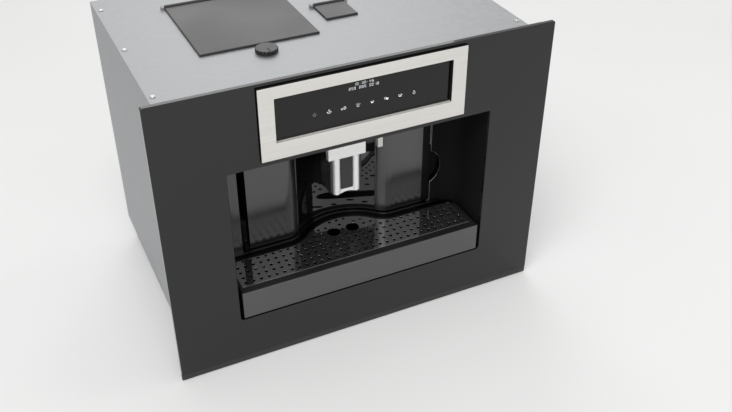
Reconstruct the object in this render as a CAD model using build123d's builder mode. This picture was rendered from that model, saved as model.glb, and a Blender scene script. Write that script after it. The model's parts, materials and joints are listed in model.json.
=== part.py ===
"""Built-in coffee machine, 60 cm wide and 45 cm high, on telescopic rails.

Frame: +X to the user's right, +Y into the housing, +Z up. The origin is the middle of the footprint, on
the shelf that the machine stands on. All sizes are in millimetres. Names ending in _x, _y or _z are
places; pairs such as tank_y = (low, high) are the two planes that a piece lies between.
"""
from build123d import *
import math
import os

os.makedirs("parts", exist_ok=True)

# ---------------------------------------------------------------- overall
depth = 400.0                  # steel frame's front to the inlet's rear
front_width = 595.0
front_overhang = 20.0          # front past the casing on each side
body_top = 440.0               # top cover's upper side above the shelf
shelf_gap = 1.0                # the front's lower edge above the shelf
trim_height = 10.0
glass_height = 445.0
glass_thick = 6.0
glass_corner_r = 2.5
glass_bevel = 0.6
trim_setback = 1.0
trim_edge_r = 0.8
carrier_thick = 8.0            # frame that carries the glass
carrier_side = 12.0            # carrier inside the glass on each side
carrier_foot = 2.0             # carrier above the trim's lower edge
carrier_head = 4.0             # carrier below the glass's upper edge
carrier_corner_r = 4.0
sheet = 2.0                    # steel sheet of the casing
flange = 12.0                  # turned-in edges of the casing
running_gap = 0.3              # between pieces that slide past each other
seat_gap = 0.5                 # around a piece that drops into a cut-out
past = 1.0                     # how far a cut or a joint runs past a face

# ---------------------------------------------------------------- control frame and display
frame_proud = 5.0
frame_width = 305.0
frame_height = 106.5
frame_rise = 332.5             # frame's lower edge above the glass's lower edge
frame_side = 21.8
frame_lower = 24.2
frame_upper = 17.0
collar_wall = 2.5
frame_corner_r = 1.0
frame_edge_r = 0.5
frame_inner_bevel = 0.4
display_recess = 6.5           # display glass behind the frame's front
display_thick = 3.0
display_lip = 2.0              # display glass past the collar on each side
display_corner_r = 0.5
module_thick = 16.0
module_board = 6.0             # circuit board behind the display glass
module_board_inset = 3.0
module_panel_inset = (12.0, 7.0)
module_chips = ((-5.0, 110.0, 30.0, 0.0), (60.0, 20.0, 22.0, 3.0))   # x, width, height, set back

# ---------------------------------------------------------------- niche
opening_width = 401.0
opening_rise = 72.0            # opening's lower edge above the glass's lower edge
opening_height = 251.5
opening_corner_r = 3.0
shell_wall = 2.5
shell_reveal = 0.5             # shell set back behind the glass's edge
niche_depth = 93.5             # flat rear wall behind the glass's front
niche_corner_r = 30.0
recess_r = 94.7                # curved recess in the rear wall
recess_centre_depth = 36.8     # recess centre behind the glass's front
recess_blend_r = 30.0
ledge_rise = 48.0              # ledge behind the tray, above the opening's lower edge
ledge_front_inset = 6.0
ceiling_lift = 0.5             # ceiling above the opening's upper edge
floor_drop = 1.0               # niche floor below the opening's lower edge
runner_height = 2.9
runner_width = 8.0
runner_x = 150.0
runner_inset = (6.0, 5.0)      # behind the glass, in front of the tray's rear

# ---------------------------------------------------------------- service door
door_left_x = -149.4
door_right_x = 156.4
door_hinge_gap = 12.0          # black band between the door and the fixed wall
door_latch_gap = 2.0
door_skin = 3.0
door_liner_thick = 8.0
door_band = 12.9               # black edge beside the skin, on the latch side
door_band_gap = 0.3            # between the skin and that edge
door_seam_x = 66.5             # seams at the recess's two ends
door_seam_r = 1.3
door_cut_edge = 0.6            # chamfer along the shell's edge beside the door
door_lift = 2.0                # door above the ledge
door_drop = 4.5                # door top below the opening's upper edge
door_top_gap = 2.0             # niche wall's cut above the door
hinge_pin_r = 2.0
pin_clearance = 0.05
knuckle_r = 4.5
knuckle_height = 10.0
knuckle_boss_drop = 7.0
knuckle_arm = 7.0              # knuckle's arm, from the wall's face to the rear
knuckle_arm_gap = 0.2
finger_notch_height = 58.4
finger_notch_reach = 17.8
finger_notch_rise = 112.9      # notch's centre above the opening's lower edge
finger_cup_depth = 12.0
magnet_size = (7.5, 10.0, 15.0)
magnet_rise = 230.0
magnet_gap = 0.5

# ---------------------------------------------------------------- coffee spout and hot-water nozzle
spout_front_depth = 62.6       # cap's front behind the glass's front
spout_cap_width = 60.0
spout_cap_height = 25.6
spout_cap_depth = 8.4
spout_cap_rise = 190.4         # cap's lower edge above the opening's lower edge
spout_cap_wall = 1.6
spout_cap_edge_r = 0.9
spout_cap_fit = 0.2
spout_body_width = 50.0
spout_body_depth = 36.5
spout_body_corner_r = 3.0
spout_body_drop = 59.4         # dark body below the cap's lower edge
spout_face_depth = 69.0        # dark body's front behind the glass's front
spout_rear_depth = 106.0
outlet_x = 15.5
outlet_r = 5.8
outlet_drop = 63.4             # outlets' lower ends below the cap's lower edge
outlet_bore_r = 1.8
outlet_edge_r = 1.6
outlet_bore_stop = 6.0
outlet_foot_rise = 0.8
outlet_bridge_height = 8.0
outlet_arch_rise = 3.2
outlet_bridge_depth = 4.0
spout_panel_width = 19.0
spout_panel_thick = 3.0
guide_width = 18.0
guide_front_depth = 106.5
guide_rise = 100.0             # guide's lower end above the opening's lower edge
guide_top_drop = 5.5
guide_clearance = 0.5
guide_gap = 0.2                # guide rail in front of the door's skin
shoe_width = 4.5
shoe_length = 6.0
arm_x = (36.0, 60.0)
arm_front_depth = 71.0
arm_rear_depth = 107.5
arm_rise = 200.0
arm_height = 44.0
arm_neck_x = 48.0
arm_tie_depth = 113.3
arm_tie_thick = 3.0
nozzle_x = 54.0
nozzle_size = (8.0, 8.4, 34.0)
nozzle_rise = 194.0
nozzle_bore_r = 1.5
nozzle_bore_depth = 20.0
nozzle_edge_r = 0.8

# ---------------------------------------------------------------- drip tray and grille
tray_front_width = 390.4
tray_front_thick = 3.0
tray_front_lift = 1.8          # plate above the opening's lower edge
tray_front_edge_r = 0.7
tray_half = 194.5
tray_rear_inset = 7.0
tray_corner_r = 25.0
tray_wall = 2.5
tray_rim_drop = 0.5            # rim below the ledge
grille_half = 189.5
grille_front_depth = 14.0
grille_rear_inset = 15.5
grille_corner_r = 10.0
grille_thick = 1.5
grille_drop = 2.0              # grille's top below the rim
grille_rest = 4.0              # width of the step that carries it
grille_pitch = 12.1
grille_hole_r = 2.6
grille_first_row = 10.8        # first row behind the grille's front edge
grille_edge = 2.0              # solid margin around the holes
drain_margin = 1.5             # solid margin around the drain holes
drain_hole_r = 10.5
drain_hole_x = 16.0
drain_hole_depth = 83.6        # drain holes behind the glass's front

# ---------------------------------------------------------------- mounting base and telescopic rails
base_inset = 7.5               # base inside the casing on each side
base_depth = (18.0, 385.0)     # behind the glass's front
base_height = 38.0
base_hole_r = 2.5
base_hole_inset = 30.0         # bolt holes inside the base's sides
base_hole_rows = 300.0         # front bolts to rear bolts
rail_depth = (20.0, 380.0)
rail_sheet = 1.5
rail_gap = 0.4
rail_height = 35.0
rail_lift = 3.0
outer_rail_width = 12.0
middle_rail_width = 8.5
inner_rail_width = 5.0
chassis_z = 40.0               # chassis plate's lower side
chassis_skirt = 32.0
rail_room = 13.0               # between the base's sides and the chassis skirts

# ---------------------------------------------------------------- inner shelf
inner_shelf_x = (-140.0, 200.0)
inner_shelf_depth = (162.0, 385.0)
inner_shelf_step = (115.0, 300.0)   # left of the first and behind the second there is no shelf
inner_shelf_z = 130.0
inner_shelf_thick = 4.0
shelf_post = 12.0

# ---------------------------------------------------------------- brew unit
brew_x = 45.0
brew_depth = 235.0             # brew axis behind the glass's front
brew_frame_width = 90.0
brew_frame_depth = 100.0
brew_frame_height = 174.0
brew_plate = 4.0
brew_side = 3.0
brew_bore_r = 24.0
brew_chamber_wall = 4.0
brew_chamber_height = 65.0
brew_chamber_lift = 36.0       # chamber's lower end above the frame's foot
piston_clearance = 0.3
piston_thick = 13.0
piston_stem_r = 8.0
piston_top_gap = 35.0          # upper piston above the chamber at rest
piston_low_gap = 8.0           # lower piston below the chamber's top at rest
lower_seal_rise = 5.0
upper_seal_rise = 4.0
seal_height = 3.0
seal_depth = 1.7
seal_clearance = 0.05
spindle_offset = 35.0
spindle_r = 5.0
spindle_collar_r = 6.5
spindle_collar = 3.0
spindle_head = 6.0             # spindle above the frame
spindle_socket = 10.0          # spindle in the motor
spindle_nut_wall = 1.5
chamber_arm_width = 14.0
chamber_arm_height = 24.0
chamber_arm_lift = 12.0
chamber_guide_inset = 4.0
brew_motor_size = (50.0, 46.0, 36.0)
brew_motor_shift = 10.0        # gearbox's middle left of the spindle
gear_motor_r = 14.0
gear_motor_length = 40.0
gear_motor_drop = 18.0
mouth_size = (30.0, 18.0)
mouth_offset = 36.0            # mouth's centre in front of the brew axis

# ---------------------------------------------------------------- grinder, hopper and funnel
grinder_x = -95.0
grinder_depth = 225.0
grinder_r = 40.0
grinder_z = (318.0, 372.0)
grinder_wall = 5.0
motor_r = 31.0
motor_height = 54.0
motor_shaft_r = 4.0
motor_edge_r = 3.0
motor_socket = 12.0            # burr's shaft in the motor
burr_r = 27.0
burr_height = 14.0
burr_top_drop = 4.0            # burr ring below the housing's top
burr_gap = 3.0                 # ring's bore past the lower burr's foot
burr_throat_inset = 2.0
lower_burr_r = 17.0
lower_burr_top_r = 10.0
lower_burr_drop = 4.0
lower_burr_top_gap = 1.0
burr_wiper = (6.0, 3.0)
burr_wiper_r = 15.0
burr_wiper_count = 4
throat_r = 18.0
hopper_size = (160.0, 160.0)
hopper_wall = 2.5
hopper_rim = 22.0              # straight part below the flange
hopper_flange = 4.0
hopper_throat_wall = 6.0
hopper_floor_gap = 1.0
lid_margin = 8.0               # lid past the hopper on each side
lid_thick = 3.0
lid_gap = 0.4
lid_knuckle_r = 2.8
lid_pin_r = 1.2
lid_ear = 5.0
lid_edge_r = 1.0
lid_web_lap = 1.5
lid_web_drop = 1.2
funnel_size = (34.0, 34.0)
funnel_wall = 2.0
funnel_flange = 3.0
chute_height = 22.0
chute_width = 22.0
chute_wall = 2.0
chute_lap = 8.0                # chute over the grinder's side
chute_mouth_rise = 3.0
chute_seat_drop = 20.0
knob_lid_gap = 6.0             # knob in front of the hopper lid
knob_r = 16.0
knob_height = 6.0
knob_shaft_r = 4.0
knob_gap = 0.4
knob_edge_r = 1.2
knob_flute_r = 1.1
knob_flute_count = 18
knob_mark = (1.6, 10.0, 0.8)
knob_mark_inset = 2.0
adjust_ear_thick = 12.0
adjust_ear_width = 30.0
adjust_boss_r = 9.0
adjust_edge_r = 2.0

# ---------------------------------------------------------------- grounds container
container_x = (-135.0, -5.0)
container_depth = (165.0, 300.0)
container_height = 98.0
container_wall = 2.5
container_corner_r = 6.0

# ---------------------------------------------------------------- water side
tank_width = 70.0
tank_depth = (120.0, 300.0)
tank_z = (68.3, 300.0)
tank_wall = 2.5
tank_cut_gap = 2.0
tank_corner_r = 5.0
tank_plug_depth = 4.0
tank_lid_thick = 3.0
tank_seat_top = 68.0
seat_wall = 4.0
seat_top_thick = 3.0
grip_size = (52.0, 18.0)
grip_depth = 11.0
grip_drop = 34.0
spigot_r = 5.0
spigot_length = 11.0
spigot_z = 90.0
spigot_depth = 210.0
socket_r = 9.0
socket_extra = 2.0             # socket past the spigot
coupling_depth = 11.5          # water coupling's column beside the tank
coupling_top = 104.0
coupling_width = 30.0
coupling_wall = 3.0
meter_x = -75.0
meter_r = 17.0
meter_height = 24.0
meter_edge_r = 2.0
meter_spigot = 6.0
spigot_wall = 1.0
hose_r = 3.0
pipe_r = 2.5
pipe_bend_r = 8.0
meter_hose_bend_r = 9.0
pressure_hose_bend_r = 10.0
meter_hose_turn = (45.0, 62.0, 20.0, 40.0)   # bends of the hose from the meter to the pump
coffee_pipe_rise = 16.0
pressure_hose_setback = 10.0
hose_z = 57.0
pump_x = (-50.0, 40.0)
pump_depth = 335.0
pump_z = 82.0
pump_r = 24.0
pump_spigot = 12.0
pump_edge_r = 4.0
pump_foot_inset = 20.0
pump_foot = 4.0
pump_foot_margin = 5.0
pump_cheek_inset = 4.0
heater_x = (125.0, 195.0)
heater_depth = (310.0, 375.0)
heater_height = 120.0
heater_foot = 8.0
heater_fin_count = 7
heater_fin_depth = 5.0
heater_fin_share = 0.4         # groove's share of the fin pitch
heater_corner_r = 6.0
heater_foot_inset = 8.0
heater_foot_r = 5.0
heater_spigot = 6.0
heater_port_z = 172.0
hot_pipe_x = 104.0
hot_pipe_z = 240.0
coffee_port_z = 215.0
port_r = 7.0
port_length = 4.5
port_gap = 0.5

# ---------------------------------------------------------------- electrics and fasteners
board_depth = (40.0, 200.0)
board_z = (120.0, 330.0)
board_thick = 1.6
board_standoff = 5.5
board_post_inset = 8.0
board_post_r = 3.0
# blocks on the board: middle along Y, middle along Z, height off the board, width, height
board_blocks = (
    (40.0, 40.0, 26.0, 46.0, 40.0),
    (110.0, 36.0, 14.0, 20.0, 28.0),
    (110.0, 74.0, 14.0, 20.0, 28.0),
    (40.0, 120.0, 30.0, 4.0, 60.0),
    (30.0, 196.0, 10.0, 14.0, 10.0),
    (54.0, 196.0, 10.0, 14.0, 10.0),
    (78.0, 196.0, 10.0, 14.0, 10.0),
    (102.0, 196.0, 10.0, 14.0, 10.0),
    (126.0, 196.0, 10.0, 14.0, 10.0),
)
board_cans = ((80.0, 120.0), (80.0, 150.0))
board_can_r = 9.0
board_can_height = 28.0
board_lap = 0.2
inlet_inset = 77.5             # inlet's middle inside the casing's side
inlet_z = 90.0
inlet_flange = (50.0, 40.0)
inlet_socket = (26.0, 18.0)
inlet_body = 26.0
inlet_blade = (2.0, 12.0, 6.0)
inlet_blades = ((-7.0, -2.5), (0.0, 2.5), (7.0, -2.5))
inlet_wall = 4.0
rear_flange_thick = 2.0
switch_z = 135.0
switch_flange = 32.0
module_lip = 3.0               # flange past the cut-out
rocker_pin_r = 1.2
rocker_size = (12.0, 8.0, 20.0)
rocker_tilt = 8.0
rocker_gap = 0.6
rocker_setback = 6.5           # pivot in front of the machine's rearmost plane
rocker_edge_r = 1.0
rocker_well = 8.0
rocker_pin_inset = 5.0
vent_count = 14
vent_size = (4.0, 60.0)
vent_pitch = 12.0
vent_x = 60.0
vent_drops = (60.0, 70.0)      # rows below the middle and below the top of the cover
screw_head_r = 3.5
screw_head = 1.8
screw_r = 1.5
screw_length = 8.0
screw_clearance = 0.3
screw_inset = (40.0, 20.0)     # end screws along Y and along Z

# ---------------------------------------------------------------- places worked out from the sizes
glass_y = -depth / 2 + frame_proud
rear_y = depth / 2
glass_z = shelf_gap + trim_height
carrier_y = glass_y + glass_thick
body_front_y = carrier_y + carrier_thick
cover_y = rear_y - rear_flange_thick            # rear cover's outer face
body_half = front_width / 2 - front_overhang
base_half = body_half - base_inset
base_hole_spacing = (2 * (base_half - base_hole_inset), base_hole_rows)
inlet_x = inlet_inset - body_half
rail_outside = base_half - sheet
chassis_skirt_x = rail_outside - rail_room
tank_x = body_half - tank_width
coupling_x = tank_x - coupling_depth
opening_half = opening_width / 2
opening_z = glass_z + opening_rise
opening_top = opening_z + opening_height
shell_half = opening_half + shell_reveal
wall_y = glass_y + niche_depth
recess_y = glass_y + recess_centre_depth
ledge_z = opening_z + ledge_rise
ceiling_z = opening_top + ceiling_lift
niche_floor_z = opening_z - floor_drop
door_z = (ledge_z + door_lift, opening_top - door_drop)
door_thick = door_skin + door_liner_thick
hinge_x = door_left_x - door_hinge_gap / 2
hinge_y = wall_y
cap_y = glass_y + spout_front_depth
cap_z = opening_z + spout_cap_rise
tray_floor_z = niche_floor_z + runner_height + running_gap
rim_z = ledge_z - tray_rim_drop
grille_z = rim_z - grille_drop - grille_thick
tray_front_y = glass_y + tray_front_thick
chassis_top = chassis_z + sheet
shelf_top = inner_shelf_z + inner_shelf_thick
brew_y = glass_y + brew_depth
chamber_z = shelf_top + brew_chamber_lift
chamber_top = chamber_z + brew_chamber_height
grinder_y = glass_y + grinder_depth
hopper_top = body_top - sheet


# ---------------------------------------------------------------- helpers
def write(piece, label):
    """Label a finished piece and write it to its own file."""
    piece.part.label = label
    export_step(piece.part, f"parts/{label}.step")


def block(x, y, z, mode=Mode.ADD):
    """A box between a low and a high plane on each axis."""
    with Locations(((x[0] + x[1]) / 2, (y[0] + y[1]) / 2, (z[0] + z[1]) / 2)):
        Box(x[1] - x[0], y[1] - y[0], z[1] - z[0], mode=mode)


def post(x, y, z, radius, mode=Mode.ADD):
    """An upright cylinder between two heights."""
    with Locations((x, y, (z[0] + z[1]) / 2)):
        Cylinder(radius, z[1] - z[0], mode=mode)


def bar_x(x, y, z, radius, mode=Mode.ADD):
    """A cylinder along X between two planes."""
    with Locations(Location(((x[0] + x[1]) / 2, y, z), (0, 90, 0))):
        Cylinder(radius, x[1] - x[0], mode=mode)


def bar_y(x, y, z, radius, mode=Mode.ADD):
    """A cylinder along Y between two planes."""
    with Locations(Location((x, (y[0] + y[1]) / 2, z), (90, 0, 0))):
        Cylinder(radius, y[1] - y[0], mode=mode)


def behind(places):
    """A pair of depths behind the glass's front, as places along Y."""
    return (glass_y + places[0], glass_y + places[1])


def span(middle, size):
    """The two planes of a size set about a middle."""
    return (middle - size / 2, middle + size / 2)


def rear_wall_line(inset, left, right):
    """The niche's rear wall in plan, moved towards the user by inset."""
    rise = wall_y + recess_blend_r - recess_y
    blend_x = math.sqrt((recess_r + recess_blend_r) ** 2 - rise**2)
    turn = math.atan2(rise, blend_x)
    arc_r = recess_r - inset
    blend_r = recess_blend_r + inset
    flat_y = wall_y - inset
    touch = (arc_r * math.cos(turn), recess_y + arc_r * math.sin(turn))
    half_turn = math.radians(225) + turn / 2
    bend = (
        blend_x + blend_r * math.cos(half_turn),
        wall_y + recess_blend_r + blend_r * math.sin(half_turn),
    )
    Line((left, flat_y), (-blend_x, flat_y))
    ThreePointArc((-blend_x, flat_y), (-bend[0], bend[1]), (-touch[0], touch[1]))
    ThreePointArc((-touch[0], touch[1]), (0, recess_y + arc_r), touch)
    ThreePointArc(touch, bend, (blend_x, flat_y))
    Line((blend_x, flat_y), (right, flat_y))


def rear_wall_y(x, inset):
    """Where that line lies at x, taking the recess's arc for its middle."""
    arc_r = recess_r - inset
    flat_y = wall_y - inset
    if abs(x) >= arc_r:
        return flat_y
    return max(flat_y, recess_y + math.sqrt(arc_r**2 - x**2))


def niche_plan(inset, half, front, corner_r):
    """The niche's plan: front edge, straight sides, round rear corners, curved rear wall."""
    side_y = wall_y - inset - corner_r
    corner_x = half - corner_r
    diagonal = corner_r * math.sqrt(0.5)
    rear_wall_line(inset, -corner_x, corner_x)
    ThreePointArc(
        (corner_x, wall_y - inset), (corner_x + diagonal, side_y + diagonal), (half, side_y)
    )
    ThreePointArc(
        (-corner_x, wall_y - inset), (-corner_x - diagonal, side_y + diagonal), (-half, side_y)
    )
    Line((half, side_y), (half, front))
    Line((-half, side_y), (-half, front))
    Line((-half, front), (half, front))


def niche_prism(inset, half, front, corner_r, z, mode=Mode.ADD):
    """The niche's plan raised between two heights."""
    with BuildSketch(Plane.XY.offset(z[0])) as plan:
        with BuildLine():
            niche_plan(inset, half, front, corner_r)
        make_face()
    extrude(plan.sketch, amount=z[1] - z[0], mode=mode)


def wall_strip(insets, x, z):
    """A layer of the rear wall between two insets, from left to right and between two heights."""
    with BuildSketch(Plane.XY.offset(z[0])) as layer:
        with BuildLine():
            rear_wall_line(insets[0], x[0], x[1])
            rear_wall_line(insets[1], x[0], x[1])
            Line((x[0], wall_y - insets[0]), (x[0], wall_y - insets[1]))
            Line((x[1], wall_y - insets[0]), (x[1], wall_y - insets[1]))
        make_face()
    extrude(layer.sketch, amount=z[1] - z[0])


def tube(points, radius, bend_r):
    """A tube along straight runs joined by arcs."""
    with BuildLine() as path:
        if len(points) > 2:
            FilletPolyline(*points, radius=bend_r)
        else:
            Line(*points)
    with BuildSketch(Plane(origin=path.line @ 0, z_dir=path.line % 0)) as section:
        Circle(radius)
    sweep(section.sketch, path=path.line)


# ---------------------------------------------------------------- mounting base and rails
base_y = behind(base_depth)
base_middle_y = (base_y[0] + base_y[1]) / 2
with BuildPart() as mounting_base:
    block((-base_half, base_half), base_y, (0, sheet))
    for side in (-1, 1):
        edge = sorted((side * base_half, side * (base_half - sheet)))
        block(edge, base_y, (0, base_height))
    with Locations((0, base_middle_y, sheet)):
        with GridLocations(*base_hole_spacing, 2, 2):
            Hole(base_hole_r)
write(mounting_base, "mounting_base")

rail_y = behind(rail_depth)


def rail_pair(outside, width, low, height):
    """A channel on each side, open towards the middle."""
    for side in (-1, 1):
        web = sorted((side * outside, side * (outside - rail_sheet)))
        lip = sorted((side * outside, side * (outside - width)))
        block(web, rail_y, (low, low + height))
        block(lip, rail_y, (low, low + rail_sheet))
        block(lip, rail_y, (low + height - rail_sheet, low + height))


step = rail_sheet + rail_gap
middle_outside = rail_outside - rail_sheet - rail_gap - (outer_rail_width - middle_rail_width) / 2
with BuildPart() as outer_rails:
    rail_pair(rail_outside, outer_rail_width, rail_lift, rail_height)
write(outer_rails, "outer_rails")

with BuildPart() as middle_rails:
    rail_pair(middle_outside, middle_rail_width, rail_lift + step, rail_height - 2 * step)
write(middle_rails, "middle_rails")

with BuildPart() as inner_rails:
    inner_outside = chassis_skirt_x + inner_rail_width
    rail_pair(inner_outside, inner_rail_width, rail_lift + 2 * step, rail_height - 4 * step)
write(inner_rails, "inner_rails")

# ---------------------------------------------------------------- casing
with BuildPart() as chassis_base:
    block((-body_half, body_half), (body_front_y, cover_y), (chassis_z, chassis_top))
    for side in (-1, 1):
        skirt = sorted((side * chassis_skirt_x, side * (chassis_skirt_x - sheet)))
        block(skirt, rail_y, (chassis_z - chassis_skirt, chassis_z))
write(chassis_base, "chassis_base")

tank_y = behind(tank_depth)
tank_window_y = (tank_y[0] - tank_cut_gap, tank_y[1] + tank_cut_gap)
tank_window_z = (tank_seat_top - tank_cut_gap, tank_z[1] + tank_lid_thick + tank_cut_gap)
cover_top_z = body_top - sheet
side_front_y = body_front_y
side_rear_y = cover_y - sheet
side_middle_y = (side_front_y + side_rear_y) / 2
side_middle_z = (chassis_top + cover_top_z) / 2
top_screw_ys = (side_front_y + screw_inset[0], side_middle_y, side_rear_y - screw_inset[0])
rear_screw_zs = (chassis_top + screw_inset[1], side_middle_z, cover_top_z - screw_inset[1])
screw_x = body_half - sheet - flange / 2
screw_hole_r = screw_r + screw_clearance

for side, label in ((-1, "left_side_panel"), (1, "right_side_panel")):
    skin = sorted((side * body_half, side * (body_half - sheet)))
    turned = sorted((side * body_half, side * (body_half - sheet - flange)))
    with BuildPart() as side_panel:
        block(skin, (side_front_y, side_rear_y), (chassis_top, cover_top_z))
        block(turned, (side_front_y, side_rear_y), (cover_top_z - sheet, cover_top_z))
        block(turned, (side_rear_y - sheet, side_rear_y), (chassis_top, cover_top_z))
        for y in top_screw_ys:
            post(side * screw_x, y, (cover_top_z - 2 * sheet, body_top), screw_r, Mode.SUBTRACT)
        for z in rear_screw_zs:
            bar_y(side * screw_x, (side_rear_y - 2 * sheet, cover_y), z, screw_r, Mode.SUBTRACT)
        if side > 0:
            block((0, front_width), tank_window_y, tank_window_z, Mode.SUBTRACT)
    write(side_panel, label)

module_x_span = span(inlet_x, inlet_flange[0] - 2 * module_lip)
module_z_span = (inlet_z - inlet_flange[1] / 2 + module_lip, switch_z + switch_flange / 2 - module_lip)
with BuildPart() as rear_cover:
    block((-body_half, body_half), (side_rear_y, cover_y), (chassis_top, body_top))
    block(module_x_span, (side_rear_y - past, cover_y + past), module_z_span, Mode.SUBTRACT)
    for row_z in (side_middle_z - vent_drops[0], cover_top_z - vent_drops[1]):
        with BuildSketch(Plane((vent_x, cover_y, row_z), x_dir=(1, 0, 0), z_dir=(0, -1, 0))):
            with GridLocations(vent_pitch, 0, vent_count, 1):
                SlotOverall(vent_size[1], vent_size[0], rotation=90)
        extrude(amount=sheet, mode=Mode.SUBTRACT)
    for side in (-1, 1):
        for z in rear_screw_zs:
            bar_y(side * screw_x, (side_rear_y - past, cover_y + past), z, screw_hole_r, Mode.SUBTRACT)
write(rear_cover, "rear_cover")

hopper_y = span(grinder_y, hopper_size[1])
hopper_x = span(grinder_x, hopper_size[0])
funnel_y_mid = brew_y - mouth_offset
funnel_x = span(brew_x, funnel_size[0])
funnel_y = span(funnel_y_mid, funnel_size[1])


def lid_plan(x, y):
    """The lid's plane pairs past the thing that it covers."""
    return (x[0] - lid_margin, x[1] + lid_margin), (y[0] - lid_margin, y[1] + lid_margin)


hopper_lid_x, hopper_lid_y = lid_plan(hopper_x, hopper_y)
powder_lid_x, powder_lid_y = lid_plan(funnel_x, funnel_y)
knob_y = hopper_lid_y[0] - knob_r - knob_lid_gap
lid_z = body_top + lid_gap
lid_axis_z = body_top + lid_gap + lid_knuckle_r


def lid_ears(x, rear):
    """The two ears on the top cover that hold a lid's hinge pin."""
    for low in (x[0] - lid_ear - running_gap, x[1] + running_gap):
        block((low, low + lid_ear), span(rear, 2 * lid_knuckle_r), (body_top, lid_axis_z))
        bar_x((low, low + lid_ear), rear, lid_axis_z, lid_knuckle_r)


def lid_pin_hole(x, rear):
    """The bore through both ears."""
    bar_x((x[0] - 2 * lid_ear, x[1] + 2 * lid_ear), rear, lid_axis_z, lid_pin_r, Mode.SUBTRACT)


hopper_axis_y = hopper_lid_y[1] + lid_knuckle_r
powder_axis_y = powder_lid_y[1] + lid_knuckle_r
with BuildPart() as top_cover:
    block((-body_half, body_half), (body_front_y, side_rear_y), (cover_top_z, body_top))
    block(hopper_x, hopper_y, (cover_top_z - past, body_top + past), Mode.SUBTRACT)
    block(funnel_x, funnel_y, (cover_top_z - past, body_top + past), Mode.SUBTRACT)
    post(grinder_x, knob_y, (cover_top_z - past, body_top + past), knob_shaft_r + seat_gap, Mode.SUBTRACT)
    for side in (-1, 1):
        for y in top_screw_ys:
            post(side * screw_x, y, (cover_top_z - past, body_top + past), screw_hole_r, Mode.SUBTRACT)
    for lid_x, axis_y in ((hopper_lid_x, hopper_axis_y), (powder_lid_x, powder_axis_y)):
        lid_ears(lid_x, axis_y)
        lid_pin_hole(lid_x, axis_y)
write(top_cover, "top_cover")

with BuildPart() as cover_screws:
    for side in (-1, 1):
        for y in top_screw_ys:
            post(side * screw_x, y, (body_top, body_top + screw_head), screw_head_r)
            post(side * screw_x, y, (body_top - screw_length, body_top), screw_r)
        for z in rear_screw_zs:
            bar_y(side * screw_x, (cover_y, cover_y + screw_head), z, screw_head_r)
            bar_y(side * screw_x, (cover_y - screw_length, cover_y), z, screw_r)
write(cover_screws, "cover_screws")

# ---------------------------------------------------------------- front
def front_sheet(width, height, middle_z, radius, y, mode=Mode.ADD):
    """A rounded rectangle in the front's plane, between two places along Y."""
    plane = Plane((0, y[0], middle_z), x_dir=(1, 0, 0), z_dir=(0, -1, 0))
    with BuildSketch(plane) as outline:
        RectangleRounded(width, height, radius)
    extrude(outline.sketch, amount=-(y[1] - y[0]), mode=mode)


frame_z = (glass_z + frame_rise, glass_z + frame_rise + frame_height)
window_width = frame_width - 2 * frame_side
window_z = (frame_z[0] + frame_lower, frame_z[1] - frame_upper)
window_height = window_z[1] - window_z[0]
window_middle = (window_z[0] + window_z[1]) / 2
collar_width = window_width + 2 * collar_wall
collar_height = window_height + 2 * collar_wall
display_y = glass_y - frame_proud + display_recess
display_width = collar_width + 2 * display_lip
display_height = collar_height + 2 * display_lip
glass_cut_width = display_width + 2 * seat_gap
glass_cut_height = display_height + 2 * seat_gap
opening_middle = (opening_z + opening_top) / 2
glass_middle = glass_z + glass_height / 2

with BuildPart() as front_glass:
    front_sheet(front_width, glass_height, glass_middle, glass_corner_r, (glass_y, carrier_y))
    front_sheet(
        opening_width, opening_height, opening_middle, opening_corner_r, (glass_y, carrier_y), Mode.SUBTRACT
    )
    front_sheet(
        glass_cut_width, glass_cut_height, window_middle, seat_gap, (glass_y, carrier_y), Mode.SUBTRACT
    )
    front_face = front_glass.faces().sort_by(Axis.Y)[0]
    chamfer(front_face.edges(), glass_bevel)
write(front_glass, "front_glass")

with BuildPart() as bottom_trim:
    block(
        (-front_width / 2, front_width / 2),
        (glass_y + trim_setback, carrier_y),
        (shelf_gap, glass_z - running_gap),
    )
    trim_front = bottom_trim.faces().sort_by(Axis.Y)[0]
    fillet(trim_front.edges().filter_by(Axis.X), trim_edge_r)
write(bottom_trim, "bottom_trim")

with BuildPart() as control_frame:
    frame_front_y = glass_y - frame_proud
    frame_middle = (frame_z[0] + frame_z[1]) / 2
    front_sheet(frame_width, frame_height, frame_middle, frame_corner_r, (frame_front_y, glass_y))
    front_sheet(collar_width, collar_height, window_middle, frame_corner_r, (glass_y, display_y))
    window_y = (frame_front_y, display_y)
    front_sheet(window_width, window_height, window_middle, frame_corner_r, window_y, Mode.SUBTRACT)
    frame_face = control_frame.faces().sort_by(Axis.Y)[0]
    fillet(frame_face.outer_wire().edges(), frame_edge_r)
    chamfer(frame_face.inner_wires()[0].edges(), frame_inner_bevel)
write(control_frame, "control_frame")

with BuildPart() as display_glass:
    display_ys = (display_y, display_y + display_thick)
    front_sheet(display_width, display_height, window_middle, display_corner_r, display_ys)
write(display_glass, "display_glass")

with BuildPart() as display_module:
    module_y = (display_y + display_thick, display_y + display_thick + module_thick)
    board_y = (module_y[0] + module_board, module_y[0] + module_board + board_thick)
    panel_width = display_width - 2 * module_panel_inset[0]
    panel_height = display_height - 2 * module_panel_inset[1]
    board_width = display_width - 2 * module_board_inset
    board_height = display_height - 2 * module_board_inset
    block(span(0, panel_width), (module_y[0], board_y[0]), span(window_middle, panel_height))
    block(span(0, board_width), board_y, span(window_middle, board_height))
    for x, width, height, setback in module_chips:
        block(span(x, width), (board_y[1], module_y[1] - setback), span(window_middle, height))
write(display_module, "display_module")

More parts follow.
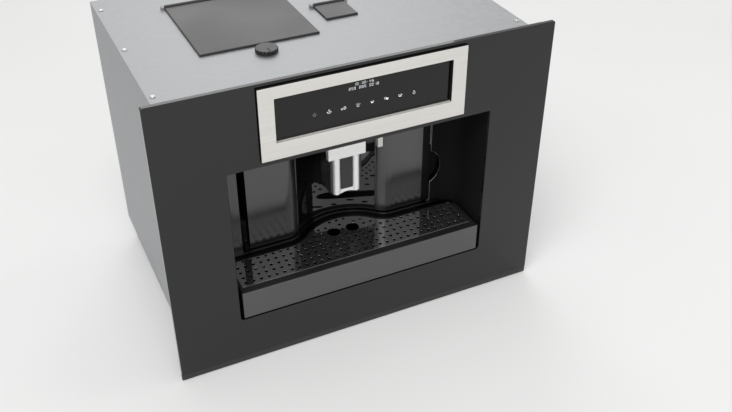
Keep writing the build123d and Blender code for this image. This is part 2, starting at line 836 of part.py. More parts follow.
with BuildPart() as front_carrier:
    carrier_z = (shelf_gap + carrier_foot, glass_z + glass_height - carrier_head)
    carrier_middle = (carrier_z[0] + carrier_z[1]) / 2
    carrier_height = carrier_z[1] - carrier_z[0]
    carrier_ys = (carrier_y, body_front_y)
    carrier_width = front_width - 2 * carrier_side
    front_sheet(carrier_width, carrier_height, carrier_middle, carrier_corner_r, carrier_ys)
    block(
        span(0, 2 * (shell_half + shell_wall + seat_gap)),
        carrier_ys,
        (niche_floor_z - shell_wall - seat_gap, ceiling_z + shell_wall + seat_gap),
        Mode.SUBTRACT,
    )
    front_sheet(
        glass_cut_width, glass_cut_height, window_middle, seat_gap, carrier_ys, Mode.SUBTRACT
    )
write(front_carrier, "front_carrier")

# ---------------------------------------------------------------- niche shell
shell_z = (niche_floor_z - shell_wall, ceiling_z + shell_wall)
door_cut_x = (door_left_x - door_hinge_gap, door_right_x + door_latch_gap)
door_cut_z = (ledge_z, door_z[1] + door_top_gap)
top_boss_z = (door_z[1] + running_gap, ceiling_z)
notch_z = opening_z + finger_notch_rise
with BuildPart() as niche_shell:
    outer_half = shell_half + shell_wall
    niche_prism(-shell_wall, outer_half, carrier_y, niche_corner_r + shell_wall, shell_z)
    niche_prism(0, shell_half, carrier_y - past, niche_corner_r, (niche_floor_z, ceiling_z), Mode.SUBTRACT)
    block(door_cut_x, (wall_y - past, rear_y), door_cut_z, Mode.SUBTRACT)
    # ledge behind the tray
    with BuildSketch(Plane.XY.offset(ledge_z - shell_wall)):
        with BuildLine():
            niche_plan(-shell_wall / 2, shell_half + shell_wall / 2, carrier_y + past, niche_corner_r)
        make_face()
        with BuildLine():
            niche_plan(ledge_front_inset, shell_half + 2 * shell_wall, carrier_y, niche_corner_r)
        make_face(mode=Mode.SUBTRACT)
    extrude(amount=shell_wall)
    # tray runners on the floor
    for side in (-1, 1):
        block(
            span(side * runner_x, runner_width),
            (carrier_y + runner_inset[0], wall_y - tray_rear_inset - runner_inset[1]),
            (niche_floor_z, niche_floor_z + runner_height),
        )
    # seats for the door's pins
    post(hinge_x, hinge_y, top_boss_z, knuckle_r)
    post(hinge_x, hinge_y, (ledge_z - knuckle_boss_drop, ledge_z), knuckle_r)
    post(hinge_x, hinge_y, (top_boss_z[0], shell_z[1]), hinge_pin_r, Mode.SUBTRACT)
    post(hinge_x, hinge_y, (ledge_z - knuckle_boss_drop, ledge_z), hinge_pin_r, Mode.SUBTRACT)
    # finger notch beside the door, with a closed cup behind the wall
    notch_x = door_cut_x[1]
    cup_y = (wall_y, wall_y + shell_wall + finger_cup_depth)
    cup_outer = (notch_x, notch_x + finger_notch_reach + shell_wall)
    cup_half = finger_notch_height / 2 + shell_wall
    block(cup_outer, cup_y, (notch_z - cup_half, notch_z + cup_half))
    notch_plane = Plane((notch_x, wall_y - past, notch_z), x_dir=(1, 0, 0), z_dir=(0, -1, 0))
    with BuildSketch(notch_plane):
        with BuildLine():
            half_notch = finger_notch_height / 2
            ThreePointArc((0, -half_notch), (finger_notch_reach, 0), (0, half_notch))
            Line((0, -half_notch), (0, half_notch))
        make_face()
    extrude(amount=-(finger_cup_depth + past), mode=Mode.SUBTRACT)
    # chamfer along the cut's edge and round the notch
    bevel = door_cut_edge * math.sqrt(2)
    with Locations(Location((notch_x, wall_y, sum(door_cut_z) / 2), (0, 0, 45))):
        Box(bevel, bevel, door_cut_z[1] - door_cut_z[0], mode=Mode.SUBTRACT)
    lip_plane = Plane((notch_x, wall_y, notch_z), x_dir=(1, 0, 0), z_dir=(0, -1, 0))
    with BuildSketch(lip_plane) as lip:
        with BuildLine():
            half_lip = half_notch + door_cut_edge
            lip_reach = finger_notch_reach + door_cut_edge
            ThreePointArc((0, -half_lip), (lip_reach, 0), (0, half_lip))
            Line((0, -half_lip), (0, half_lip))
        make_face()
    extrude(lip.sketch, amount=-door_cut_edge, taper=45, mode=Mode.SUBTRACT)
write(niche_shell, "niche_shell")

with BuildPart() as door_magnet:
    magnet_y = (wall_y + shell_wall, wall_y + shell_wall + magnet_size[1])
    magnet_z = (opening_z + magnet_rise, opening_z + magnet_rise + magnet_size[2])
    block((notch_x + magnet_gap, notch_x + magnet_gap + magnet_size[0]), magnet_y, magnet_z)
write(door_magnet, "door_magnet")

# ---------------------------------------------------------------- service door
with BuildPart() as door_hinge_pins:
    top_pin_z = (door_z[1] - knuckle_height, shell_z[1])
    low_pin_z = (ledge_z - knuckle_boss_drop, ledge_z + knuckle_height)
    post(hinge_x, hinge_y, top_pin_z, hinge_pin_r)
    post(hinge_x, hinge_y, low_pin_z, hinge_pin_r)
write(door_hinge_pins, "door_hinge_pins")

with BuildPart() as door_panel:
    wall_strip((0, -door_skin), (door_left_x, door_right_x - door_band), door_z)
    seam_z = (door_z[0] - past, door_z[1] + past)
    for side in (-1, 1):
        post(side * door_seam_x, rear_wall_y(door_seam_x, 0), seam_z, door_seam_r, Mode.SUBTRACT)
write(door_panel, "door_panel")

with BuildPart() as door_liner:
    wall_strip((-door_skin, -door_thick), (door_left_x, door_right_x), door_z)
    band_x = (door_right_x - door_band + door_band_gap, door_right_x)
    block(band_x, (wall_y, wall_y + door_skin + past), door_z)
    low_knuckle = (ledge_z + running_gap, ledge_z + running_gap + knuckle_height)
    top_knuckle = (door_z[1] - knuckle_height, door_z[1])
    for knuckle in (low_knuckle, top_knuckle):
        post(hinge_x, hinge_y, knuckle, knuckle_r)
        block((hinge_x, door_left_x - knuckle_arm_gap), (wall_y, wall_y + knuckle_arm), knuckle)
        block(
            (hinge_x, door_left_x + past),
            (wall_y + door_skin + knuckle_arm_gap, wall_y + knuckle_arm),
            knuckle,
        )
    for knuckle in (low_knuckle, top_knuckle):
        knuckle_bore = (knuckle[0] - past, knuckle[1] + past)
        post(hinge_x, hinge_y, knuckle_bore, hinge_pin_r + pin_clearance, Mode.SUBTRACT)
    coffee_rear = rear_wall_y(0, -door_thick)
    hot_rear = wall_y + door_thick
    for port_x, rear, port_z in ((0, coffee_rear, coffee_port_z), (hot_pipe_x, hot_rear, hot_pipe_z)):
        port_floor = rear - door_liner_thick + past
        bar_y(port_x, (rear - 2 * past, rear + port_length), port_z, port_r)
        bar_y(port_x, (port_floor, rear + port_length + past), port_z, hose_r, Mode.SUBTRACT)
write(door_liner, "door_liner")

guide_z = (opening_z + guide_rise, opening_top - guide_top_drop)
guide_rear = rear_wall_y(guide_width / 2, 0) - guide_gap
with BuildPart() as outlet_bracket:
    arm_z = (opening_z + arm_rise, opening_z + arm_rise + arm_height)
    arm_y = (glass_y + arm_front_depth, glass_y + arm_rear_depth)
    tie_y = (glass_y + arm_tie_depth, glass_y + arm_tie_depth + arm_tie_thick)
    tie_z = (arm_z[0] + arm_height / 2, arm_z[1])
    block(span(0, guide_width), (glass_y + guide_front_depth, guide_rear), guide_z)
    block(arm_x, arm_y, arm_z)
    block((arm_x[0], arm_neck_x), (arm_y[1] - past, tie_y[1]), tie_z)
    block((0, arm_neck_x), tie_y, tie_z)
write(outlet_bracket, "outlet_bracket")

with BuildPart() as hot_water_nozzle:
    nozzle_y = (glass_y + arm_front_depth - nozzle_size[1], glass_y + arm_front_depth)
    nozzle_z = (opening_z + nozzle_rise, opening_z + nozzle_rise + nozzle_size[2])
    nozzle_mid_y = (nozzle_y[0] + nozzle_y[1]) / 2
    block(span(nozzle_x, nozzle_size[0]), nozzle_y, nozzle_z)
    nozzle_bore_z = (nozzle_z[0] - past, nozzle_z[0] + nozzle_bore_depth)
    fillet(hot_water_nozzle.faces().sort_by(Axis.Y)[0].edges(), nozzle_edge_r)
    post(nozzle_x, nozzle_mid_y, nozzle_bore_z, nozzle_bore_r, Mode.SUBTRACT)
write(hot_water_nozzle, "hot_water_nozzle")

# ---------------------------------------------------------------- coffee spout
cap_half = spout_cap_width / 2
cap_z_span = (cap_z, cap_z + spout_cap_height)
face_y = glass_y + spout_face_depth
spout_rear_y = glass_y + spout_rear_depth
body_low = cap_z - spout_body_drop
with BuildPart() as spout_cap:
    block((-cap_half, cap_half), (cap_y, cap_y + spout_cap_depth), cap_z_span)
    cap_front = spout_cap.faces().sort_by(Axis.Y)[0]
    fillet(cap_front.edges() + spout_cap.edges().filter_by(Axis.Y), spout_cap_edge_r)
    block(
        (-cap_half + spout_cap_wall, cap_half - spout_cap_wall),
        (cap_y + spout_cap_wall, cap_y + spout_cap_depth + past),
        (cap_z - past, cap_z_span[1] - spout_cap_wall),
        Mode.SUBTRACT,
    )
write(spout_cap, "spout_cap")

with BuildPart() as spout_housing:
    cap_inset = spout_cap_wall + spout_cap_fit
    upper_half = cap_half - cap_inset
    upper_z = (cap_z + past, cap_z_span[1] - cap_inset)
    lower_half = spout_body_width / 2
    block((-upper_half, upper_half), (cap_y + cap_inset, spout_rear_y), upper_z)
    block((-lower_half, lower_half), (face_y, face_y + spout_body_depth), (body_low, upper_z[0]))
    fillet(spout_housing.edges().filter_by(Axis.Z).group_by(Axis.Y)[-2], spout_body_corner_r)
    panel_low = cap_z - outlet_drop + outlet_bridge_height
    block(span(0, spout_panel_width), (face_y - spout_panel_thick, face_y), (panel_low, upper_z[0]))
    for side in (-1, 1):
        shoe_inner = guide_width / 2 + guide_clearance
        shoe = sorted((side * shoe_inner, side * (shoe_inner + shoe_width)))
        block(shoe, (spout_rear_y - past, spout_rear_y + shoe_length), upper_z)
write(spout_housing, "spout_housing")

with BuildPart() as spout_outlets:
    outlet_z = (cap_z - outlet_drop, cap_z)
    bridge_y = (face_y - outlet_bridge_depth, face_y)
    bridge_plane = Plane((0, face_y, outlet_z[0]), x_dir=(1, 0, 0), z_dir=(0, -1, 0))
    for side in (-1, 1):
        post(side * outlet_x, face_y, outlet_z, outlet_r)
    outlet_foot = spout_outlets.faces().sort_by(Axis.Z)[:2]
    fillet(outlet_foot.edges(), outlet_edge_r)
    with BuildSketch(bridge_plane):
        with BuildLine():
            half = spout_panel_width / 2 + past
            Line((-half, outlet_bridge_height), (half, outlet_bridge_height))
            Line((half, outlet_bridge_height), (half, outlet_foot_rise))
            ThreePointArc((half, outlet_foot_rise), (0, outlet_arch_rise), (-half, outlet_foot_rise))
            Line((-half, outlet_foot_rise), (-half, outlet_bridge_height))
        make_face()
    extrude(amount=outlet_bridge_depth)
    block(
        (-cap_half, cap_half),
        (face_y, face_y + 2 * outlet_r),
        (outlet_z[0] - past, outlet_z[1] + past),
        Mode.SUBTRACT,
    )
    for side in (-1, 1):
        bore_y = face_y - outlet_r / 2
        bore_z = (outlet_z[0] - past, outlet_z[1] - outlet_bore_stop)
        post(side * outlet_x, bore_y, bore_z, outlet_bore_r, Mode.SUBTRACT)
write(spout_outlets, "spout_outlets")

# ---------------------------------------------------------------- drip tray
tray_y = (tray_front_y, wall_y - tray_rear_inset)
with BuildPart() as drip_tray:
    niche_prism(tray_rear_inset, tray_half, tray_front_y, tray_corner_r, (tray_floor_z, rim_z))
    inner_inset = grille_rear_inset - seat_gap
    inner_half = grille_half + seat_gap
    inner_front = glass_y + grille_front_depth - seat_gap
    rest_z = grille_z - running_gap
    inner_corner_r = grille_corner_r + seat_gap
    inner_z = (rest_z, rim_z + past)
    niche_prism(inner_inset, inner_half, inner_front, inner_corner_r, inner_z, Mode.SUBTRACT)
    niche_prism(
        inner_inset + grille_rest,
        inner_half - grille_rest,
        inner_front + grille_rest,
        grille_corner_r,
        (tray_floor_z + tray_wall, rest_z + past),
        Mode.SUBTRACT,
    )
write(drip_tray, "drip_tray")

with BuildPart() as tray_front:
    plate_z = (opening_z + tray_front_lift, rim_z)
    block(span(0, tray_front_width), (glass_y, tray_front_y), plate_z)
    plate_face = tray_front.faces().sort_by(Axis.Y)[0]
    fillet(plate_face.edges(), tray_front_edge_r)
write(tray_front, "tray_front")

grille_front = glass_y + grille_front_depth


def grille_holes():
    """Centres of the small holes: a square grid kept clear of the edge and of the drain holes."""
    centres = []
    columns = int((grille_half - grille_edge - grille_hole_r) / grille_pitch)
    drain_y = glass_y + drain_hole_depth
    clear_of_drain = drain_hole_r + grille_hole_r + drain_margin
    y = grille_front + grille_first_row
    while y < recess_y + recess_r:
        for column in range(-columns, columns + 1):
            x = column * grille_pitch
            margin = grille_edge + grille_hole_r
            if y + margin > rear_wall_y(abs(x) + margin / 2, grille_rear_inset):
                continue
            distance = min(math.hypot(x - s * drain_hole_x, y - drain_y) for s in (-1, 1))
            if distance > clear_of_drain:
                centres.append((x, y))
        y += grille_pitch
    return centres


with BuildPart() as grille:
    with BuildSketch(Plane.XY.offset(grille_z)):
        with BuildLine():
            niche_plan(grille_rear_inset, grille_half, grille_front, grille_corner_r)
        make_face()
        with Locations(*grille_holes()):
            Circle(grille_hole_r, mode=Mode.SUBTRACT)
        with Locations((0, glass_y + drain_hole_depth)):
            with GridLocations(2 * drain_hole_x, 0, 2, 1):
                Circle(drain_hole_r, mode=Mode.SUBTRACT)
    extrude(amount=grille_thick)
write(grille, "grille")

# ---------------------------------------------------------------- inner shelf
inner_shelf_y = behind(inner_shelf_depth)
with BuildPart() as inner_shelf:
    step_y = glass_y + inner_shelf_step[1]
    block(inner_shelf_x, (inner_shelf_y[0], step_y), (inner_shelf_z, shelf_top))
    block((inner_shelf_step[0], inner_shelf_x[1]), inner_shelf_y, (inner_shelf_z, shelf_top))
    post_places = (
        (inner_shelf_x[0], inner_shelf_y[0]),
        (inner_shelf_x[0], step_y - shelf_post),
        (inner_shelf_x[1] - shelf_post, inner_shelf_y[0]),
        (inner_shelf_x[1] - shelf_post, inner_shelf_y[1] - shelf_post),
        (inner_shelf_step[0], inner_shelf_y[1] - shelf_post),
    )
    for x, y in post_places:
        block((x, x + shelf_post), (y, y + shelf_post), (chassis_top, inner_shelf_z))
    spindle_x = brew_x + spindle_offset
    post(spindle_x, brew_y, (inner_shelf_z - past, shelf_top + past), spindle_collar_r, Mode.SUBTRACT)
write(inner_shelf, "inner_shelf")

# ---------------------------------------------------------------- brew unit
frame_top = shelf_top + brew_frame_height
brew_frame_x = span(brew_x, brew_frame_width)
brew_frame_y = span(brew_y, brew_frame_depth)
roof_cut = (frame_top - brew_plate - past, frame_top + past)
spindle_bore_r = spindle_r + pin_clearance
with BuildPart() as brew_frame:
    block(brew_frame_x, brew_frame_y, (shelf_top, frame_top))
    block(
        (brew_frame_x[0] + brew_side, brew_frame_x[1] - brew_side),
        (brew_frame_y[0] - past, brew_frame_y[1] - brew_side),
        (shelf_top + brew_plate, frame_top - brew_plate),
        Mode.SUBTRACT,
    )
    block(
        span(brew_x, mouth_size[0]),
        span(brew_y - mouth_offset, mouth_size[1]),
        roof_cut,
        Mode.SUBTRACT,
    )
    post(brew_x, brew_y, roof_cut, hose_r, Mode.SUBTRACT)
    post(spindle_x, brew_y, (shelf_top - past, frame_top + past), spindle_bore_r, Mode.SUBTRACT)
write(brew_frame, "brew_frame")

chamber_r = brew_bore_r + brew_chamber_wall
with BuildPart() as brew_chamber:
    arm_low = chamber_z + chamber_arm_lift
    arm_high = arm_low + chamber_arm_height
    arm_width = span(brew_y, chamber_arm_width)
    guide_inner = brew_frame_x[0] + brew_side + guide_clearance
    post(brew_x, brew_y, (chamber_z, chamber_top), chamber_r)
    block((brew_x, spindle_x + spindle_r + spindle_nut_wall), arm_width, (arm_low, arm_high))
    guide_ends = (chamber_z + chamber_guide_inset, chamber_top - chamber_guide_inset)
    block((guide_inner, brew_x), arm_width, guide_ends)
    post(brew_x, brew_y, (chamber_z - past, chamber_top + past), brew_bore_r, Mode.SUBTRACT)
    post(spindle_x, brew_y, (arm_low - past, arm_high + past), spindle_bore_r, Mode.SUBTRACT)
write(brew_chamber, "brew_chamber")

piston_r = brew_bore_r - piston_clearance
seal_inner_r = piston_r - seal_depth
seal_outer_r = brew_bore_r - seal_clearance
lower_disc = (chamber_top - piston_low_gap - piston_thick, chamber_top - piston_low_gap)
upper_disc = (chamber_top + piston_top_gap, chamber_top + piston_top_gap + piston_thick)
lower_seal_z = lower_disc[0] + lower_seal_rise
upper_seal_z = upper_disc[0] + upper_seal_rise
lower_seal = (lower_seal_z, lower_seal_z + seal_height)
upper_seal = (upper_seal_z, upper_seal_z + seal_height)


def piston(disc, stem, seal):
    """A disc with a groove for its seal, on a stem."""
    post(brew_x, brew_y, disc, piston_r)
    post(brew_x, brew_y, stem, piston_stem_r)
    post(brew_x, brew_y, seal, 2 * piston_r, Mode.SUBTRACT)
    post(brew_x, brew_y, seal, seal_inner_r)


with BuildPart() as lower_piston:
    piston(lower_disc, (shelf_top + brew_plate, lower_disc[0]), lower_seal)
write(lower_piston, "lower_piston")

with BuildPart() as upper_piston:
    piston(upper_disc, (upper_disc[1], frame_top - brew_plate), upper_seal)
    post(brew_x, brew_y, (upper_disc[0] - past, frame_top), hose_r / 2, Mode.SUBTRACT)
write(upper_piston, "upper_piston")

with BuildPart() as piston_seals:
    for seal in (lower_seal, upper_seal):
        post(brew_x, brew_y, seal, seal_outer_r)
        post(brew_x, brew_y, seal, seal_inner_r, Mode.SUBTRACT)
write(piston_seals, "piston_seals")

motor_top = inner_shelf_z
with BuildPart() as brew_spindle:
    post(spindle_x, brew_y, (motor_top - spindle_socket, frame_top + spindle_head), spindle_r)
    collar_low = shelf_top + brew_plate + running_gap
    post(spindle_x, brew_y, (collar_low, collar_low + spindle_collar), spindle_collar_r)
write(brew_spindle, "brew_spindle")

with BuildPart() as brew_motor:
    gear_x = span(spindle_x - brew_motor_shift, brew_motor_size[0])
    block(gear_x, span(brew_y, brew_motor_size[1]), (motor_top - brew_motor_size[2], motor_top))
    bar_x((gear_x[0] - gear_motor_length, spindle_x), brew_y, motor_top - gear_motor_drop, gear_motor_r)
    socket_z = (motor_top - spindle_socket - past, motor_top + past)
    post(spindle_x, brew_y, socket_z, spindle_bore_r, Mode.SUBTRACT)
write(brew_motor, "brew_motor")

# ---------------------------------------------------------------- grinder
grinder_low, grinder_high = grinder_z
housing_floor = grinder_low + grinder_wall
burr_z = (grinder_high - burr_top_drop - burr_height, grinder_high - burr_top_drop)
adjust_z = (grinder_high - adjust_ear_thick, grinder_high)
shaft_bore_r = motor_shaft_r + pin_clearance
with BuildPart() as grinder_housing:
    post(grinder_x, grinder_y, grinder_z, grinder_r)
    block(span(grinder_x, adjust_ear_width), (knob_y - adjust_boss_r, grinder_y), adjust_z)
    fillet(grinder_housing.edges().filter_by(Axis.Z).sort_by(Axis.Y)[:2], adjust_edge_r)
    post(grinder_x, grinder_y, (housing_floor, burr_z[1]), burr_r, Mode.SUBTRACT)
    post(grinder_x, grinder_y, (burr_z[1] - past, grinder_high + past), throat_r, Mode.SUBTRACT)
    post(grinder_x, grinder_y, (grinder_low - past, housing_floor + past), shaft_bore_r, Mode.SUBTRACT)
    adjust_bore = (adjust_z[0] - past, adjust_z[1] + past)
    post(grinder_x, knob_y, adjust_bore, knob_shaft_r + pin_clearance, Mode.SUBTRACT)
    exit_z = (housing_floor, housing_floor + chute_height - 2 * chute_wall)
    exit_y = span(brew_y - mouth_offset, chute_width - 2 * chute_wall)
    block((grinder_x, grinder_x + grinder_r + past), exit_y, exit_z, Mode.SUBTRACT)
write(grinder_housing, "grinder_housing")

with BuildPart() as upper_burr:
    post(grinder_x, grinder_y, burr_z, burr_r)
    with Locations((grinder_x, grinder_y, (burr_z[0] + burr_z[1]) / 2)):
        Cone(lower_burr_r + burr_gap, throat_r - burr_throat_inset, burr_height, mode=Mode.SUBTRACT)
write(upper_burr, "upper_burr")

motor_z = (grinder_low - motor_height, grinder_low)
with BuildPart() as grinder_motor:
    post(grinder_x, grinder_y, motor_z, motor_r)
    fillet(grinder_motor.edges().filter_by(GeomType.CIRCLE), motor_edge_r)
    shaft_socket = (motor_z[1] - motor_socket, motor_z[1] + past)
    post(grinder_x, grinder_y, shaft_socket, shaft_bore_r, Mode.SUBTRACT)
write(grinder_motor, "grinder_motor")

with BuildPart() as lower_burr:
    cone_z = (burr_z[0] - lower_burr_drop, burr_z[1] - lower_burr_top_gap)
    hub_z = (housing_floor + running_gap, cone_z[0])
    with Locations((grinder_x, grinder_y, (cone_z[0] + cone_z[1]) / 2)):
        Cone(lower_burr_r, lower_burr_top_r, cone_z[1] - cone_z[0])
    post(grinder_x, grinder_y, hub_z, lower_burr_r - burr_gap)
    post(grinder_x, grinder_y, (motor_z[1] - motor_socket + past, cone_z[0]), motor_shaft_r)
    with Locations((grinder_x, grinder_y, (hub_z[0] + hub_z[1]) / 2)):
        with PolarLocations(burr_wiper_r, burr_wiper_count):
            Box(*burr_wiper, hub_z[1] - hub_z[0])
write(lower_burr, "lower_burr")

with BuildPart() as grounds_chute:
    chute_x = (grinder_x + grinder_r - chute_lap, brew_x + mouth_size[0] / 2)
    chute_y = span(brew_y - mouth_offset, chute_width)
    chute_start = housing_floor - chute_wall
    chute_end = frame_top
    mouth_x = chute_x[1] - mouth_size[0]
    with BuildSketch(Plane((0, chute_y[1], 0), x_dir=(1, 0, 0), z_dir=(0, -1, 0))):
        with BuildLine():
            Polyline(
                (chute_x[0], chute_start),
                (chute_x[1], chute_end),
                (chute_x[1], chute_end + chute_height),
                (chute_x[0], chute_start + chute_height),
                close=True,
            )
        make_face()
    extrude(amount=chute_width)
    # powder funnel that stands on the chute's lower end
    block(funnel_x, funnel_y, (chute_end + chute_height - past, hopper_top))
    block(
        (funnel_x[0] - funnel_flange, funnel_x[1] + funnel_flange),
        (funnel_y[0] - funnel_flange, funnel_y[1] + funnel_flange),
        (hopper_top - funnel_wall, hopper_top),
    )
    block(
        (funnel_x[0] + funnel_wall, funnel_x[1] - funnel_wall),
        (funnel_y[0] + funnel_wall, funnel_y[1] - funnel_wall),
        (chute_end + chute_height + chute_wall, hopper_top + past),
        Mode.SUBTRACT,
    )
    block(
        (mouth_x + chute_wall, chute_x[1] - chute_wall),
        (chute_y[0] + chute_wall, chute_y[1] - chute_wall),
        (chute_end - past, chute_end + chute_height + chute_wall + past),
        Mode.SUBTRACT,
    )
    with BuildSketch(Plane((0, chute_y[1] - chute_wall, 0), x_dir=(1, 0, 0), z_dir=(0, -1, 0))):
        with BuildLine():
            Polyline(
                (chute_x[0] - past, chute_start + chute_wall),
                (mouth_x, chute_end + chute_wall + chute_mouth_rise),
                (mouth_x, chute_end - past),
                (chute_x[1] - chute_wall, chute_end - past),
                (chute_x[1] - chute_wall, chute_end + chute_height - chute_wall),
                (chute_x[0] - past, chute_start + chute_height - chute_wall),
                close=True,
            )
        make_face()
    extrude(amount=chute_width - 2 * chute_wall, mode=Mode.SUBTRACT)
    post(grinder_x, grinder_y, (grinder_low - chute_seat_drop, grinder_high), grinder_r, Mode.SUBTRACT)
write(grounds_chute, "grounds_chute")

# ---------------------------------------------------------------- bean hopper and lids
hopper_floor = grinder_high + hopper_floor_gap
hopper_knee = hopper_top - hopper_rim
with BuildPart() as bean_hopper:
    with BuildSketch(Plane.XY.offset(hopper_floor)):
        with Locations((grinder_x, grinder_y)):
            Rectangle(*2 * [2 * (throat_r + hopper_throat_wall)])
    with BuildSketch(Plane.XY.offset(hopper_knee)):
        with Locations((grinder_x, grinder_y)):
            Rectangle(*hopper_size)
    loft(ruled=True)
    block(hopper_x, hopper_y, (hopper_knee, hopper_top))
    block(
        (hopper_x[0] - hopper_flange, hopper_x[1] + hopper_flange),
        (hopper_y[0] - hopper_flange, hopper_y[1] + hopper_flange),
        (hopper_top - hopper_wall, hopper_top),
    )
    block(
        (hopper_x[0] + hopper_wall, hopper_x[1] - hopper_wall),
        (hopper_y[0] + hopper_wall, hopper_y[1] - hopper_wall),
        (hopper_knee, hopper_top + past),
        Mode.SUBTRACT,
    )
    with BuildSketch(Plane.XY.offset(hopper_floor + hopper_wall)):
        with Locations((grinder_x, grinder_y)):
            Rectangle(2 * throat_r, 2 * throat_r)
    with BuildSketch(Plane.XY.offset(hopper_knee)):
        with Locations((grinder_x, grinder_y)):
            Rectangle(hopper_size[0] - 2 * hopper_wall, hopper_size[1] - 2 * hopper_wall)
    loft(ruled=True, mode=Mode.SUBTRACT)
    throat_z = (hopper_floor - past, hopper_floor + hopper_wall + past)
    post(grinder_x, grinder_y, throat_z, throat_r, Mode.SUBTRACT)
write(bean_hopper, "bean_hopper")

for label, lid_x, lid_y, axis_y in (
    ("hopper_lid", hopper_lid_x, hopper_lid_y, hopper_axis_y),
    ("powder_lid", powder_lid_x, powder_lid_y, powder_axis_y),
):
    with BuildPart() as lid:
        block(lid_x, lid_y, (lid_z, lid_z + lid_thick))
        fillet(lid.faces().sort_by(Axis.Z)[-1].edges(), lid_edge_r)
        bar_x(lid_x, axis_y, lid_axis_z, lid_knuckle_r)
        block(lid_x, (lid_y[1] - lid_web_lap, axis_y), (lid_z, lid_z + lid_thick - lid_web_drop))
        lid_bore_x = (lid_x[0] - past, lid_x[1] + past)
        bar_x(lid_bore_x, axis_y, lid_axis_z, lid_pin_r + pin_clearance, Mode.SUBTRACT)
    write(lid, label)

with BuildPart() as lid_hinge_pins:
    for lid_x, axis_y in ((hopper_lid_x, hopper_axis_y), (powder_lid_x, powder_axis_y)):
        pin_x = (lid_x[0] - lid_ear - running_gap, lid_x[1] + lid_ear + running_gap)
        bar_x(pin_x, axis_y, lid_axis_z, lid_pin_r)
write(lid_hinge_pins, "lid_hinge_pins")

with BuildPart() as grind_knob:
    knob_z = (body_top + knob_gap, body_top + knob_gap + knob_height)
    post(grinder_x, knob_y, knob_z, knob_r)
    fillet(grind_knob.faces().sort_by(Axis.Z)[-1].edges(), knob_edge_r)
    with Locations((grinder_x, knob_y, knob_z[1])):
        with PolarLocations(knob_r, knob_flute_count):
            Cylinder(knob_flute_r, 2 * knob_height, mode=Mode.SUBTRACT)
    mark_y = knob_y - knob_r + knob_mark_inset
    block(
        span(grinder_x, knob_mark[0]),
        (mark_y, mark_y + knob_mark[1]),
        (knob_z[1] - knob_mark[2], knob_z[1] + past),
        Mode.SUBTRACT,
    )
    post(grinder_x, knob_y, (adjust_z[0], knob_z[0]), knob_shaft_r)
write(grind_knob, "grind_knob")

# ---------------------------------------------------------------- grounds container
container_y = behind(container_depth)
with BuildPart() as grounds_container:
    container_z = (shelf_top, shelf_top + container_height)
    block(container_x, container_y, container_z)
    fillet(grounds_container.edges().filter_by(Axis.Z), container_corner_r)
    block(
        (container_x[0] + container_wall, container_x[1] - container_wall),
        (container_y[0] + container_wall, container_y[1] - container_wall),
        (container_z[0] + container_wall, container_z[1] + past),
        Mode.SUBTRACT,
    )
write(grounds_container, "grounds_container")

# ---------------------------------------------------------------- water tank
tank_xs = (tank_x, body_half)
grip_floor_x = body_half - grip_depth
grip_y = span((tank_y[0] + tank_y[1]) / 2, grip_size[0])
grip_z = (tank_z[1] - grip_drop, tank_z[1] - grip_drop + grip_size[1])
with BuildPart() as water_tank:
    block(tank_xs, tank_y, tank_z)
    fillet(water_tank.edges().filter_by(Axis.Z), tank_corner_r)
    block(
        (tank_xs[0] + tank_wall, tank_xs[1] - tank_wall),
        (tank_y[0] + tank_wall, tank_y[1] - tank_wall),
        (tank_z[0] + tank_wall, tank_z[1] + past),
        Mode.SUBTRACT,
    )
    block(
        (grip_floor_x - tank_wall, body_half - past),
        (grip_y[0] - tank_wall, grip_y[1] + tank_wall),
        (grip_z[0] - tank_wall, grip_z[1] + tank_wall),
    )
    block((grip_floor_x, body_half + past), grip_y, grip_z, Mode.SUBTRACT)
    spigot_y = glass_y + spigot_depth
    socket_end = tank_x + spigot_length + socket_extra
    bar_x((tank_x + past, socket_end), spigot_y, spigot_z, socket_r)
    socket_bore_x = (tank_x - past, socket_end + past)
    bar_x(socket_bore_x, spigot_y, spigot_z, spigot_r + pin_clearance, Mode.SUBTRACT)
write(water_tank, "water_tank")

with BuildPart() as tank_lid:
    lid_low = tank_z[1]
    plug_inset = tank_wall + tank_corner_r
    block(tank_xs, tank_y, (lid_low, lid_low + tank_lid_thick))
    fillet(tank_lid.edges().filter_by(Axis.Z), tank_corner_r)
    block(
        (tank_x + tank_wall + seat_gap, grip_floor_x - 2 * tank_wall),
        (tank_y[0] + plug_inset, tank_y[1] - plug_inset),
        (lid_low - tank_plug_depth, lid_low),
    )
write(tank_lid, "tank_lid")

with BuildPart() as tank_seat:
    seat_x = (tank_x, body_half - sheet - running_gap)
    block(seat_x, tank_y, (chassis_top, tank_seat_top))
    block(
        (seat_x[0] + seat_wall, seat_x[1] - seat_wall),
        (tank_y[0] + seat_wall, tank_y[1] - seat_wall),
        (chassis_top - past, tank_seat_top - seat_top_thick),
        Mode.SUBTRACT,
    )
    column_y = span(spigot_y, coupling_width)
    column_x = (coupling_x, tank_x - seat_gap)
    spigot_end = column_x[1] + spigot_length
    block(column_x, column_y, (chassis_top, coupling_top))
    block((column_x[0], tank_x + past), column_y, (chassis_top, tank_seat_top - 2 * seat_top_thick))
    bar_x((column_x[1] - past, spigot_end), spigot_y, spigot_z, spigot_r)
    spigot_bore_x = (column_x[0] + coupling_wall, spigot_end + past)
    bar_x(spigot_bore_x, spigot_y, spigot_z, hose_r / 2, Mode.SUBTRACT)
write(tank_seat, "tank_seat")

